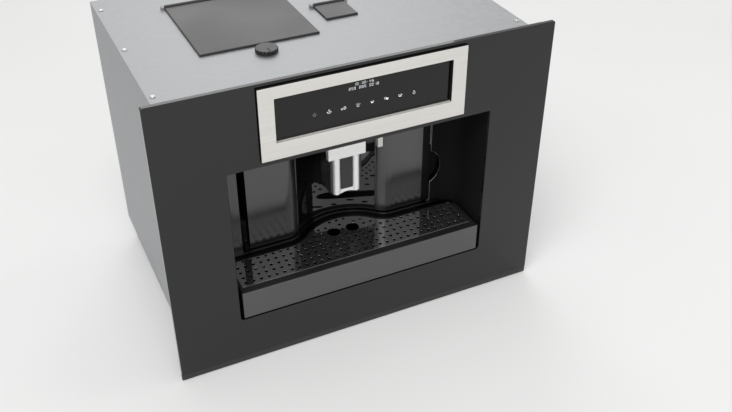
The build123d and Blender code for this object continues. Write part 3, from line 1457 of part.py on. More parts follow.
with BuildPart() as flow_meter:
    meter_z = (chassis_top, chassis_top + meter_height)
    post(meter_x, spigot_y, meter_z, meter_r)
    meter_port = meter_r + meter_spigot
    fillet(flow_meter.faces().sort_by(Axis.Z)[-1].edges(), meter_edge_r)
    bar_x((meter_x, meter_x + meter_port), spigot_y, hose_z, hose_r + spigot_wall)
    bar_y(meter_x, (spigot_y, spigot_y + meter_port), hose_z, hose_r + spigot_wall)
write(flow_meter, "flow_meter")

pump_y = glass_y + pump_depth
with BuildPart() as pump:
    bar_x(pump_x, pump_y, pump_z, pump_r)
    fillet(pump.edges().filter_by(GeomType.CIRCLE), pump_edge_r)
    pump_ports = (pump_x[0] - pump_spigot, pump_x[1] + pump_spigot)
    bar_x(pump_ports, pump_y, pump_z, hose_r + 2 * spigot_wall)
    foot_x = (pump_x[0] + pump_foot_inset, pump_x[1] - pump_foot_inset)
    foot_y = span(pump_y, 2 * (pump_r + pump_foot_margin))
    cheek_y = span(pump_y, 2 * (pump_r - pump_cheek_inset))
    block(foot_x, foot_y, (chassis_top, chassis_top + pump_foot))
    for x in (foot_x[0], foot_x[1] - pump_foot):
        block((x, x + pump_foot), cheek_y, (chassis_top, pump_z))
write(pump, "pump")

heater_y = behind(heater_depth)
with BuildPart() as thermoblock:
    heater_z = (shelf_top + heater_foot, shelf_top + heater_foot + heater_height)
    block(heater_x, heater_y, heater_z)
    fillet(thermoblock.edges().filter_by(Axis.Z), heater_corner_r)
    fin_pitch = heater_height / (heater_fin_count + 1)
    for fin in range(heater_fin_count):
        fin_z = heater_z[0] + (fin + 1) * fin_pitch
        block(
            (heater_x[0] - past, heater_x[1] + past),
            (heater_y[1] - heater_fin_depth, heater_y[1] + past),
            span(fin_z, heater_fin_share * fin_pitch),
            Mode.SUBTRACT,
        )
    for x in (heater_x[0] + heater_foot_inset, heater_x[1] - heater_foot_inset):
        for y in (heater_y[0] + heater_foot_inset, heater_y[1] - heater_foot_inset):
            post(x, y, (shelf_top, heater_z[0] + past), heater_foot_r)
    heater_middle_y = (heater_y[0] + heater_y[1]) / 2
    heater_port_x = heater_x[0] - heater_spigot
    for z in (heater_port_z, hot_pipe_z):
        bar_x((heater_port_x, heater_x[0] + past), heater_middle_y, z, hose_r + 2 * spigot_wall)
write(thermoblock, "thermoblock")

with BuildPart() as suction_hoses:
    meter_route = [
        (meter_x, spigot_y + meter_port, hose_z),
        (meter_x, pump_y - meter_hose_turn[1], hose_z),
        (meter_x - meter_hose_turn[0], pump_y - meter_hose_turn[2], (hose_z + pump_z) / 2),
        (meter_x - meter_hose_turn[3], pump_y, pump_z),
        (pump_ports[0], pump_y, pump_z),
    ]
    tube([(coupling_x, spigot_y, hose_z), (meter_x + meter_port, spigot_y, hose_z)], hose_r, 0)
    tube(meter_route, hose_r, meter_hose_bend_r)
write(suction_hoses, "suction_hoses")

riser_x = hot_pipe_x - pressure_hose_setback
with BuildPart() as pressure_hose:
    pressure_route = [
        (pump_ports[1], pump_y, pump_z),
        (riser_x, pump_y, pump_z),
        (riser_x, heater_middle_y, heater_port_z),
        (heater_port_x, heater_middle_y, heater_port_z),
    ]
    tube(pressure_route, hose_r, pressure_hose_bend_r)
write(pressure_hose, "pressure_hose")

gap_x = (brew_frame_x[0] + container_x[1]) / 2
with BuildPart() as outlet_pipes:
    coffee_route = [
        (brew_x, brew_y, frame_top),
        (brew_x, brew_y, frame_top + coffee_pipe_rise),
        (gap_x, brew_y, frame_top + coffee_pipe_rise),
        (gap_x, brew_y, coffee_port_z),
        (gap_x, coffee_rear + port_length + port_gap, coffee_port_z),
    ]
    hot_route = [
        (heater_port_x, heater_middle_y, hot_pipe_z),
        (hot_pipe_x, heater_middle_y, hot_pipe_z),
        (hot_pipe_x, hot_rear + port_length + port_gap, hot_pipe_z),
    ]
    tube(coffee_route, pipe_r, pipe_bend_r)
    tube(hot_route, pipe_r, pipe_bend_r)
write(outlet_pipes, "outlet_pipes")

# ---------------------------------------------------------------- electrics
board_inner_x = -body_half + sheet
with BuildPart() as power_board:
    board_ys = behind(board_depth)
    board_x = (board_inner_x + board_standoff, board_inner_x + board_standoff + board_thick)
    block(board_x, board_ys, board_z)
    for y in (board_ys[0] + board_post_inset, board_ys[1] - board_post_inset):
        for z in (board_z[0] + board_post_inset, board_z[1] - board_post_inset):
            bar_x((board_inner_x, board_x[0] + board_lap), y, z, board_post_r)
    parts_x = board_x[1] - board_lap
    for y, z, reach, width, height in board_blocks:
        block((parts_x, parts_x + reach), span(board_ys[0] + y, width), span(board_z[0] + z, height))
    for y, z in board_cans:
        bar_x((parts_x, parts_x + board_can_height), board_ys[0] + y, board_z[0] + z, board_can_r)
write(power_board, "power_board")

pivot_y = rear_y - rocker_setback
rocker_reach = math.hypot(rocker_size[1], rocker_size[2]) / 2 + rocker_gap
with BuildPart() as mains_inlet:
    module_low = inlet_z - inlet_flange[1] / 2
    socket_floor_y = rear_y - inlet_body + inlet_wall
    block(span(inlet_x, inlet_flange[0]), (cover_y, rear_y), (module_low, switch_z + switch_flange / 2))
    body_x = (module_x_span[0] + seat_gap, module_x_span[1] - seat_gap)
    body_z = (module_z_span[0] + seat_gap, module_z_span[1] - seat_gap)
    block(body_x, (rear_y - inlet_body, cover_y), body_z)
    block(
        span(inlet_x, inlet_socket[0]),
        (socket_floor_y, rear_y + past),
        span(inlet_z, inlet_socket[1]),
        Mode.SUBTRACT,
    )
    for x, z in inlet_blades:
        blade_y = (socket_floor_y - past, socket_floor_y + inlet_blade[1])
        block(span(inlet_x + x, inlet_blade[0]), blade_y, span(inlet_z + z, inlet_blade[2]))
    block(
        span(inlet_x, rocker_size[0] + 2 * rocker_gap),
        (pivot_y - rocker_well, rear_y + past),
        span(switch_z, 2 * rocker_reach),
        Mode.SUBTRACT,
    )
    bar_x(span(inlet_x, inlet_flange[0] - 2 * rocker_pin_inset), pivot_y, switch_z, rocker_pin_r)
write(mains_inlet, "mains_inlet")

with BuildPart() as switch_rocker:
    with Locations(Location((inlet_x, pivot_y, switch_z), (rocker_tilt, 0, 0))):
        Box(*rocker_size)
    fillet(switch_rocker.edges().filter_by(Axis.X), rocker_edge_r)
    rocker_bore_x = span(inlet_x, rocker_size[0] + 2 * past)
    bar_x(rocker_bore_x, pivot_y, switch_z, rocker_pin_r + pin_clearance, Mode.SUBTRACT)
write(switch_rocker, "switch_rocker")
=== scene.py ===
"""Looks of a built-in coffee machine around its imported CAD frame.

Metres, +X to the user's right, +Y into the housing, +Z up, as in the CAD source.
"""

import json
import math

import bmesh
import bpy
from mathutils import Matrix, Vector
from mathutils.geometry import tessellate_polygon


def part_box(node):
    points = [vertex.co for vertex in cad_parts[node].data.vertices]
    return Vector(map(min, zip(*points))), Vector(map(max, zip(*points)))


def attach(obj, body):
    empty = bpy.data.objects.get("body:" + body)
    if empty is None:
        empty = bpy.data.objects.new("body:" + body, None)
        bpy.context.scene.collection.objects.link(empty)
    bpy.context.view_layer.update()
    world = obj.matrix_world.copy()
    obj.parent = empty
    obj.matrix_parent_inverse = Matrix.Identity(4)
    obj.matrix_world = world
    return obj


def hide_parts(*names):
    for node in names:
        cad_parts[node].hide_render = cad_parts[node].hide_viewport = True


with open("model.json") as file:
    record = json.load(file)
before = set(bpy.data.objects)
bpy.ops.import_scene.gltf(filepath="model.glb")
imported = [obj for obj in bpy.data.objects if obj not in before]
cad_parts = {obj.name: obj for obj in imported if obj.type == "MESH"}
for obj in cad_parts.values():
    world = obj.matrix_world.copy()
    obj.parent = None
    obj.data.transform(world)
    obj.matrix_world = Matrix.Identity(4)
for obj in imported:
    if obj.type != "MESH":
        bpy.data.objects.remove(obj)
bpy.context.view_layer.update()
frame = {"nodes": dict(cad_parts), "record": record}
nodes = frame["nodes"]
MM = 0.001

# where a finish changes, in the row frame
RECESS_HALF = 66.5 * MM        # half width of the rear wall's curved recess, between its seams
BLEND_END = 92 * MM            # the recess's rounded edge has run into the flat panel here
HINGE_BAND = 160 * MM          # the black band at the hinge ends this far left of the middle
LEDGE_Z = 130.5 * MM           # the shell is satin above its ledge only
CUT_EDGE = 158.5 * MM          # the shell's cut beside the door starts here
CHAMFER = 1 * MM               # width of the cut's chamfer
NOTCH_END = 177 * MM           # the finger notch in that cut ends before this
TRAY_REAR = -125 * MM          # the tray's rim is dull behind this

# widths of narrow bands
FRAME_SHADOW_BAND = 1.2 * MM          # painted shadow: a dark dull line on the glass round the control frame
TRAY_SHADOW_BAND = 2.6 * MM         # painted shadow: a dark dull band on the glass, this wide round the tray's front plate
SIDE_UNDARKENED = 0.8 * MM           # the control frame's sides are left undarkened this far behind its front
GRILLE_HIGHLIGHT = 3.2 * MM         # the grille's front edge, lighter in this band as a painted highlight


# ---------------------------------------------------------------- materials
class Look:
    """A material and short calls for the nodes that give it its detail."""

    def __init__(self, name, color, roughness, metallic=0.0, **sockets):
        self.material = bpy.data.materials.new(name)
        self.material.use_nodes = True
        self.tree = self.material.node_tree
        self.shader = self.tree.nodes["Principled BSDF"]
        self.shader.inputs["Base Color"].default_value = (*color, 1)
        self.shader.inputs["Roughness"].default_value = roughness
        self.shader.inputs["Metallic"].default_value = metallic
        for socket, value in sockets.items():
            self.shader.inputs[socket.replace("_", " ")].default_value = value
        self.coordinates = self.add("ShaderNodeTexCoord").outputs["Object"]

    def add(self, kind, **settings):
        node = self.tree.nodes.new(kind)
        for key, value in settings.items():
            setattr(node, key, value)
        return node

    def join(self, source, target):
        self.tree.links.new(source, target)

    def stretched(self, scale):
        """Object coordinates, multiplied along each axis."""
        mapping = self.add("ShaderNodeMapping")
        mapping.inputs["Scale"].default_value = scale
        self.join(self.coordinates, mapping.inputs["Vector"])
        return mapping.outputs["Vector"]

    def noise(self, scale, detail=3.0, stretch=(1, 1, 1)):
        node = self.add("ShaderNodeTexNoise")
        node.inputs["Scale"].default_value = scale
        node.inputs["Detail"].default_value = detail
        self.join(self.stretched(stretch), node.inputs["Vector"])
        return node.outputs["Fac"]

    def cells(self, scale, output="Color"):
        node = self.add("ShaderNodeTexVoronoi")
        node.inputs["Scale"].default_value = scale
        self.join(self.coordinates, node.inputs["Vector"])
        return node.outputs[output]

    def ranged(self, value, low, high, source=(0.3, 0.7)):
        """A value mapped from the source range to low and high."""
        node = self.add("ShaderNodeMapRange")
        node.inputs["From Min"].default_value = source[0]
        node.inputs["From Max"].default_value = source[1]
        node.inputs["To Min"].default_value = low
        node.inputs["To Max"].default_value = high
        self.join(value, node.inputs["Value"])
        return node.outputs["Result"]

    def combine(self, first, second, operation="ADD"):
        """Two values, or a value and a number, put together by a math operation."""
        node = self.add("ShaderNodeMath", operation=operation)
        self.join(first, node.inputs[0])
        if isinstance(second, (int, float)):
            node.inputs[1].default_value = second
        else:
            self.join(second, node.inputs[1])
        return node.outputs[0]

    def colors(self, value, stops, source=(0.3, 0.7)):
        """Base colour from a value, between colours at even steps."""
        ramp = self.add("ShaderNodeValToRGB")
        while len(ramp.color_ramp.elements) < len(stops):
            ramp.color_ramp.elements.new(0.5)
        for i, (element, color) in enumerate(zip(ramp.color_ramp.elements, stops)):
            element.position = i / (len(stops) - 1)
            element.color = (*color, 1)
        self.join(self.ranged(value, 0, 1, source), ramp.inputs["Fac"])
        self.join(ramp.outputs["Color"], self.shader.inputs["Base Color"])
        return self

    def rough(self, value, low, high, source=(0.3, 0.7)):
        self.join(self.ranged(value, low, high, source), self.shader.inputs["Roughness"])
        return self

    def bump(self, height, strength, distance, edge=0.0):
        """Surface relief, with edges rounded by the given radius."""
        node = self.add("ShaderNodeBump")
        node.inputs["Strength"].default_value = strength
        node.inputs["Distance"].default_value = distance
        self.join(height, node.inputs["Height"])
        if edge:
            bevel = self.add("ShaderNodeBevel", samples=6)
            bevel.inputs["Radius"].default_value = edge
            self.join(bevel.outputs["Normal"], node.inputs["Normal"])
        self.join(node.outputs["Normal"], self.shader.inputs["Normal"])
        return self

    def tangent_round_z(self, amount):
        """Highlights stretched across lines that run round the Z axis."""
        self.shader.inputs["Anisotropic"].default_value = amount
        tangent = self.add("ShaderNodeTangent", direction_type="RADIAL", axis="Z")
        self.join(tangent.outputs["Tangent"], self.shader.inputs["Tangent"])
        return self


def gray(value):
    return (value, value, value)


def shades(color, darker, lighter):
    """A colour times each of two factors."""
    return [tuple(min(1, c * factor) for c in color) for factor in (darker, lighter)]


def brushed(name, color, roughness, lines, depth=0.00004, edge=0.0004, spread=0.06, metallic=1.0):
    """Metal with fine lines; lines gives how close they lie along each axis."""
    look = Look(name, color, roughness, metallic)
    fine = look.noise(1.0, 2.0, lines)
    coarse = look.noise(0.22, 2.0, lines)
    both = look.combine(look.combine(fine, coarse), 0.5, "MULTIPLY")
    look.colors(both, shades(color, 0.9, 1.05))
    look.rough(both, roughness - spread, roughness + spread)
    return look.bump(both, 0.35, depth, edge)


LINES_X = (12, 2600, 2600)     # lines that run along X, close together along Y and Z


def steel_along_x(name, color, roughness, metallic=1.0, depth=0.00004):
    """Steel brushed along X, with highlights stretched across its lines."""
    return brushed(name, color, roughness, LINES_X, depth, metallic=metallic).tangent_round_z(0.3)


def moulded(name, color, roughness, grain=0.00012, scale=1400, edge=0.0006, spread=0.05, **sockets):
    """Injection-moulded plastic with a fine grain."""
    look = Look(name, color, roughness, **sockets)
    patches = look.noise(9.0, 3.0)
    look.colors(patches, shades(color, 0.88, 1.1))
    look.rough(patches, roughness - spread, roughness + spread)
    return look.bump(look.noise(scale, 2.0), 0.25, grain, edge)


def glossy(name, color, roughness, ripple, **sockets):
    """Polished dark surface with a faint long ripple and finger-soft gloss changes."""
    look = Look(name, color, roughness, **sockets)
    haze = look.noise(3.2, 4.0)
    look.colors(haze, shades(color, 0.85, 1.15))
    look.rough(haze, roughness * 0.7, roughness * 1.4)
    return look.bump(look.noise(5.0, 1.0), 0.12, ripple, 0.0004)


def along(look, axis, middle=None):
    """The place along an axis, or the distance from a middle on it."""
    parts = look.add("ShaderNodeSeparateXYZ")
    look.join(look.coordinates, parts.inputs["Vector"])
    if middle is None:
        return parts.outputs[axis]
    return look.combine(look.combine(parts.outputs[axis], middle, "SUBTRACT"), 0.0, "ABSOLUTE")


def past(look, value, edge, width=0.0004):
    """0 below an edge and 1 above it, with a transition of the given width."""
    return look.ranged(value, 0, 1, (edge - width / 2, edge + width / 2))


def outside(look, node, grow):
    """1 outside a node's front outline, grown by the given length, and 0 inside it."""
    corner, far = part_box(node)
    middle, half = (corner + far) / 2, (far - corner) / 2
    wide = past(look, along(look, "X", middle.x), half.x + grow)
    high = past(look, along(look, "Z", middle.z), half.z + grow)
    return look.combine(wide, high, "MAXIMUM")


def inverse(look, value):
    """1 where a mask is 0, and 0 where it is 1."""
    return look.ranged(value, 1, 0, (0, 1))


def facing(look, axis):
    """How far a surface faces along an axis: 1 towards its far end, -1 towards its near end."""
    parts = look.add("ShaderNodeSeparateXYZ")
    look.join(look.add("ShaderNodeNewGeometry").outputs["True Normal"], parts.inputs["Vector"])
    return parts.outputs[axis]


def satin_beside(look, mask, plain, satin):
    """Roughness satin where the mask is 1 and plain where it is 0, in faint patches, over a long ripple."""
    patches = look.ranged(look.noise(6.0, 3.0), 0.85, 1.2)
    wanted = look.combine(look.ranged(mask, plain, satin, (0, 1)), patches, "MULTIPLY")
    look.join(wanted, look.shader.inputs["Roughness"])
    look.bump(look.noise(5.0, 1.0), 0.12, 0.0003, 0.0006)


def rougher(look, value):
    """Raises the roughness wherever the given value is higher."""
    roughness = look.shader.inputs["Roughness"]
    look.join(look.combine(roughness.links[0].from_socket, value, "MAXIMUM"), roughness)


def front_glass():
    """Black glass, with painted shadow: dark and dull in a band round the tray's front plate and in one
    round the control frame.
    """
    look = glossy("black_glass", (0.0065, 0.007, 0.0076), 0.05, 0.0006, IOR=1.5)
    past_frame = outside(look, "control_frame", FRAME_SHADOW_BAND)
    past_tray = outside(look, "tray_front", TRAY_SHADOW_BAND)
    unshadowed = look.combine(past_frame, past_tray, "MINIMUM")
    # metallic with the glass's near-black colour makes both bands dark: painted shadow
    look.join(inverse(look, unshadowed), look.shader.inputs["Metallic"])
    return look


def frame_steel():
    """The control frame's brushed front and sill, darkened to near black on its sides round it and in its
    window.
    """
    look = steel_along_x("brushed_steel", (0.745, 0.73, 0.695), 0.5, 0.45)
    sideways = past(look, look.combine(facing(look, "X"), 0.0, "ABSOLUTE"), 0.9, 0.01)
    outline = outside(look, "control_frame", -SIDE_UNDARKENED)
    behind_undarkened = past(look, along(look, "Y"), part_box("control_frame")[0].y + SIDE_UNDARKENED)
    side = look.combine(look.combine(outline, sideways, "MAXIMUM"), behind_undarkened, "MULTIPLY")
    mix = look.add("ShaderNodeMix", data_type="RGBA")
    look.join(side, mix.inputs["Factor"])
    look.join(look.shader.inputs["Base Color"].links[0].from_socket, mix.inputs["A"])
    mix.inputs["B"].default_value = (*gray(0.012), 1)
    look.join(mix.outputs["Result"], look.shader.inputs["Base Color"])
    return look


def door_gloss():
    """The door's dark gloss: clear in the curved recess, satin on the flat panels beside it."""
    look = Look("door_gloss", gray(0.01), 0.05, IOR=1.9)
    across = along(look, "X", 0.0)
    beside = past(look, across, RECESS_HALF, 1 * MM)
    satin_beside(look, beside, 0.03, 0.19)
    rounded_edge = look.ranged(across, 0.4, 0.15, (RECESS_HALF, BLEND_END))
    rougher(look, look.combine(rounded_edge, beside, "MULTIPLY"))
    return look.colors(beside, [gray(0.005), gray(0.008)], (0, 1))


def shell_gloss():
    """The niche's black shell: satin like the door left of the hinge, dull black right of the door, with a
    painted highlight on the chamfer beside the door.
    """
    look = Look("black_gloss_plastic", gray(0.006), 0.12, IOR=1.75)
    across, toward_rear = along(look, "X"), facing(look, "Y")
    left = inverse(look, past(look, across, -HINGE_BAND, 1 * MM))
    satin = look.combine(left, past(look, along(look, "Z"), LEDGE_Z), "MULTIPLY")
    off_front = past(look, toward_rear, -0.94, 0.01)
    near_door = inverse(look, past(look, across, NOTCH_END))
    cut = look.combine(off_front, near_door, "MULTIPLY")
    dull = look.combine(past(look, across, CUT_EDGE), inverse(look, cut), "MULTIPLY")
    slanted = look.combine(cut, past(look, toward_rear, -0.4, 0.01), "SUBTRACT")
    # the chamfer beside the door's cut is made much lighter: a painted highlight
    chamfer_highlight = look.combine(slanted, past(look, across, CUT_EDGE - CHAMFER), "MULTIPLY")
    look.join(dull, look.shader.inputs["Metallic"])
    satin_beside(look, satin, 0.1, 0.19)
    rougher(look, look.ranged(dull, 0, 0.85, (0, 1)))
    # one level for the four colours: 0 plain, 1/3 dull, 2/3 satin, 1 for the chamfer, made light as a
    # painted highlight
    level = look.combine(look.ranged(satin, 0, 0.67, (0, 1)), look.ranged(dull, 0, 0.33, (0, 1)))
    level = look.combine(level, look.combine(chamfer_highlight, 0.0, "MAXIMUM"), "MAXIMUM")
    return look.colors(level, [gray(0.004), gray(0.024), gray(0.027), gray(0.16)], (0, 1))


def tray_plastic():
    """The tray's black plastic, duller on its rim at the back of the niche."""
    look = moulded("tray_plastic", gray(0.011), 0.4)
    look.join(past(look, along(look, "Y"), TRAY_REAR), look.shader.inputs["Metallic"])
    return look


def grille_steel():
    """Polished dark steel, less metallic and so lighter along its front edge as a painted highlight."""
    look = brushed("polished_dark_steel", gray(0.52), 0.06, LINES_X, 0.000006, 0.0003, 0.02)
    behind_highlight = past(look, along(look, "Y"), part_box("grille")[0].y + GRILLE_HIGHLIGHT)
    # the lower metallic along the front edge paints a highlight there
    look.join(look.ranged(behind_highlight, 0.7, 0.96, (0, 1)), look.shader.inputs["Metallic"])
    return look


def galvanised():
    """Zinc-coated sheet with faint flakes."""
    look = Look("galvanised_steel", (0.34, 0.35, 0.36), 0.55, 0.9)
    flakes = look.add("ShaderNodeSeparateColor")
    look.join(look.cells(130.0), flakes.inputs["Color"])
    flake = flakes.outputs["Red"]
    look.colors(flake, [(0.325, 0.335, 0.345), (0.345, 0.355, 0.365), (0.375, 0.38, 0.385)], (0, 1))
    look.rough(flake, 0.5, 0.58, (0, 1))
    return look.bump(look.noise(35.0, 3.0), 0.08, 0.0003, 0.0006)


def circuit_board():
    """Green board with lighter tracks between cells."""
    look = Look("circuit_board", (0.02, 0.12, 0.05), 0.35)
    tracks = look.cells(160.0, "Distance")
    look.colors(tracks, [(0.012, 0.09, 0.035), (0.02, 0.14, 0.06), (0.05, 0.2, 0.1)], (0.1, 0.6))
    return look.bump(tracks, 0.2, 0.0001, 0.0003)


def clear_plastic(name, color, roughness):
    """See-through plastic, a little wavy."""
    look = Look(name, color, roughness, IOR=1.49, Transmission_Weight=1.0)
    look.rough(look.noise(14.0, 3.0), roughness, roughness + 0.05)
    return look.bump(look.noise(30.0, 2.0), 0.05, 0.0002)


def turned(name, color, roughness, rings):
    """Metal turned on a lathe about an upright axis."""
    return brushed(name, color, roughness, (40, 40, rings), 0.00003, 0.0003)


looks = {
    "galvanised_steel": galvanised(),
    "zinc_steel": brushed("zinc_steel", (0.6, 0.6, 0.585), 0.32, (300, 20, 300)),
    "black_glass": front_glass(),
    "display_glass": glossy("display_glass", gray(0.003), 0.08, 0.0003, IOR=1.43),
    "black_trim": moulded("black_trim", gray(0.02), 0.42, 0.00008, 1800, 0.0005),
    "brushed_steel": frame_steel(),
    # the outlets' chrome is whitened with a large diffuse share: painted light in place of the bright
    # reflections it shows
    "bright_chrome": brushed("bright_chrome", gray(1.0), 0.4, (20, 20, 900), 0.00002, metallic=0.55),
    "door_gloss": door_gloss(),
    "black_gloss_plastic": shell_gloss(),
    "black_plastic": moulded("black_plastic", gray(0.011), 0.4),
    "spout_plastic": moulded("spout_plastic", gray(0.02), 0.26, 0.00006),
    "satin_metal": steel_along_x("satin_metal", gray(0.135), 0.36, depth=0.00003),
    "polished_dark_steel": grille_steel(),
    "circuit_board": circuit_board(),
    "magnet": moulded("magnet", gray(0.07), 0.5, 0.0001, 900),
    "grey_plastic": moulded("grey_plastic", gray(0.13), 0.45),
    "clear_plastic": clear_plastic("clear_plastic", (0.72, 0.76, 0.79), 0.04),
    "lid_plastic": moulded("lid_plastic", gray(0.024), 0.4),
    "white_plastic": moulded("white_plastic", (0.72, 0.71, 0.67), 0.4),
    "seal_rubber": moulded("seal_rubber", (0.35, 0.06, 0.04), 0.55, 0.0001, 700),
    "burr_steel": turned("burr_steel", gray(0.4), 0.3, 900),
    "machined_steel": turned("machined_steel", gray(0.55), 0.22, 1500),
    "motor_steel": brushed("motor_steel", gray(0.42), 0.38, (200, 200, 60)),
    "cast_aluminium": brushed("cast_aluminium", (0.62, 0.62, 0.63), 0.5, (260, 260, 260), 0.0002, 0.0008),
    "silicone_hose": moulded("silicone_hose", (0.62, 0.62, 0.58), 0.35, 0.0001, 600),
}

# nodes whose look differs from that of their material slot
own_looks = {
    # the spout cap's steel is a much lighter copy of the control frame's, painted light against the niche's
    # shade
    "spout_cap": steel_along_x("spout_cap_steel_painted_light", (1.0, 0.99, 0.965), 0.45, 0.6),
    "hot_water_nozzle": steel_along_x("nozzle_steel", (0.77, 0.755, 0.72), 0.5, 0.6),
    "door_liner": moulded("liner_black", gray(0.006), 0.3, IOR=1.2),
    "drip_tray": tray_plastic(),
}
for part in frame["record"]["subparts"]:
    mesh = nodes[part["node"]].data
    mesh.materials.clear()
    mesh.materials.append(own_looks.get(part["node"], looks[part["material_slot"]]).material)


def lit(name, color, strength):
    """A printed symbol lit from behind, a little uneven as its lamp is."""
    look = Look(name, color, 0.4)
    look.shader.inputs["Emission Color"].default_value = (*color, 1)
    glow = look.ranged(look.noise(900.0, 2.0), strength * 0.85, strength * 1.1)
    look.join(glow, look.shader.inputs["Emission Strength"])
    return look.material


symbol_white = lit("symbol_white", (0.8, 0.82, 0.84), 0.75)
symbol_dim = lit("symbol_dim", (0.3, 0.31, 0.32), 0.45)


# ---------------------------------------------------------------- meshes
def piece(name, body, material, build):
    """A new mesh piece: build fills a bmesh in the row frame, in metres."""
    mesh = bpy.data.meshes.new(name)
    made = bmesh.new()
    build(made)
    bmesh.ops.recalc_face_normals(made, faces=made.faces)
    made.to_mesh(mesh)
    made.free()
    mesh.materials.append(material)
    thing = bpy.data.objects.new(name, mesh)
    bpy.context.scene.collection.objects.link(thing)
    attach(thing, body)
    return thing


def prism(made, outline, place, low, high):
    """A flat outline raised between two heights; place turns (u, v, height) into a point."""
    count = len(outline)
    rings = [[made.verts.new(place(u, v, h)) for u, v in outline] for h in (low, high)]
    for i in range(count):
        j = (i + 1) % count
        made.faces.new((rings[0][i], rings[0][j], rings[1][j], rings[1][i]))
    made.faces.new(reversed(rings[0]))
    made.faces.new(rings[1])


def stroke(u0, v0, u1, v1, width):
    """The outline of a straight stroke."""
    ahead = Vector((u1 - u0, v1 - v0)).normalized() * width / 2
    aside = Vector((-ahead.y, ahead.x))
    points = []
    for u, v, way in ((u0, v0, -1), (u1, v1, 1)):
        for side in (way, -way):
            points.append((u + way * ahead.x - side * aside.x, v + way * ahead.y - side * aside.y))
    return points


ARC_STEPS = 28


def arc(u, v, radius, width, start=0.0, end=360.0, stretch=1.0):
    """Outlines of the short quads of a ring or arc, in degrees from +u; stretch widens it along u."""
    quads = []
    inner, outer = radius - width / 2, radius + width / 2
    for i in range(ARC_STEPS):
        a = math.radians(start + (end - start) * i / ARC_STEPS)
        b = math.radians(start + (end - start) * (i + 1) / ARC_STEPS)
        quads.append(
            [
                (u + r * math.cos(t) * stretch, v + r * math.sin(t))
                for r, t in ((inner, a), (outer, a), (outer, b), (inner, b))
            ]
        )
    return quads


def spot(u, v, radius, steps=8):
    """The outline of a small dot."""
    turns = [2 * math.pi * i / steps for i in range(steps)]
    return [(u + radius * math.cos(t), v + radius * math.sin(t)) for t in turns]


# ---------------------------------------------------------------- touch symbols and display digits
FACE_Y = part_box("display_glass")[0].y
INK = 0.05 * MM                # thickness of the print
SYMBOL_Z = 393.4 * MM
SYMBOL_PITCH = 21.1 * MM
SYMBOL_SIZE = 0.8              # scale of the drawings below, which are in millimetres
WIDTH = 0.44                   # width of their lines


def on_display(middle_x, middle_z):
    """Places millimetres about a middle on the display's front."""

    def place(u, v, height):
        return (middle_x + u * MM, FACE_Y - height, middle_z + v * MM)

    return place


def cup(u, v, size, filled):
    """A small cup seen from the side: bowl and handle."""
    bowl = [(-size, 0.8 * size), (size, 0.8 * size), (0.7 * size, -0.7 * size), (-0.7 * size, -0.7 * size)]
    outline = [(u + a, v + b) for a, b in bowl]
    shapes = arc(u + 1.15 * size, v + 0.2 * size, 0.42 * size, WIDTH * 0.7, -100, 100)
    if filled:
        return shapes + [outline]
    for first, second in zip(outline, outline[1:] + outline[:1]):
        shapes.append(stroke(*first, *second, WIDTH * 0.8))
    return shapes


symbols = [
    # standby: open ring and stroke
    arc(0, 0, 2.5, WIDTH, -230, 50) + [stroke(0, 0.6, 0, 3.4, WIDTH)],
    # bowl under a line, with a small ring above
    arc(0, 0.6, 3.9, WIDTH, 200, 340) + [stroke(-4.0, -0.4, 4.0, -0.4, 0.5)] + arc(0, 2.4, 1.2, WIDTH * 0.8),
    # small ring and large oval with a stroke in it
    arc(-3.2, -0.9, 1.5, WIDTH)
    + arc(2.0, 0.3, 2.6, WIDTH, stretch=0.85)
    + [stroke(0.9, -1.0, 3.1, 1.6, 0.6)],
    # ring with three strokes above it
    arc(-0.2, -1.2, 2.0, WIDTH)
    + [
        stroke(-3.2, 2.0, -2.2, 3.4, WIDTH),
        stroke(0, 2.0, 0.6, 3.6, WIDTH),
        stroke(2.6, 1.2, 4.0, 2.2, WIDTH),
    ],
    # cup with a low filling
    cup(-0.5, -0.4, 2.2, False) + [[(-2.0, -1.9), (1.0, -1.9), (1.2, -0.8), (-2.2, -0.8)]],
    # empty cup beside a full one
    cup(-2.2, 0.9, 1.9, False) + cup(1.5, -0.7, 1.9, True),
    # larger cup with a low filling
    cup(-0.5, 0, 2.6, False) + [[(-2.3, -1.8), (1.3, -1.8), (1.5, -0.7), (-2.5, -0.7)]],
    # water drop
    arc(0, -1.0, 2.0, WIDTH, 150, 390)
    + [stroke(-1.8, 0.0, 0.1, 3.4, WIDTH), stroke(1.8, 0.0, 0.0, 3.4, WIDTH)],
]


def draw_symbols(chosen):
    def build(made):
        for index in chosen:
            middle_x = (index - (len(symbols) - 1) / 2) * SYMBOL_PITCH
            for outline in symbols[index]:
                sized = [(u * SYMBOL_SIZE, v * SYMBOL_SIZE) for u, v in outline]
                prism(made, sized, on_display(middle_x, SYMBOL_Z), 0, INK)

    return build


piece("touch_symbols", "machine", symbol_white, draw_symbols(range(1, len(symbols))))
piece("standby_symbol", "machine", symbol_dim, draw_symbols([0]))

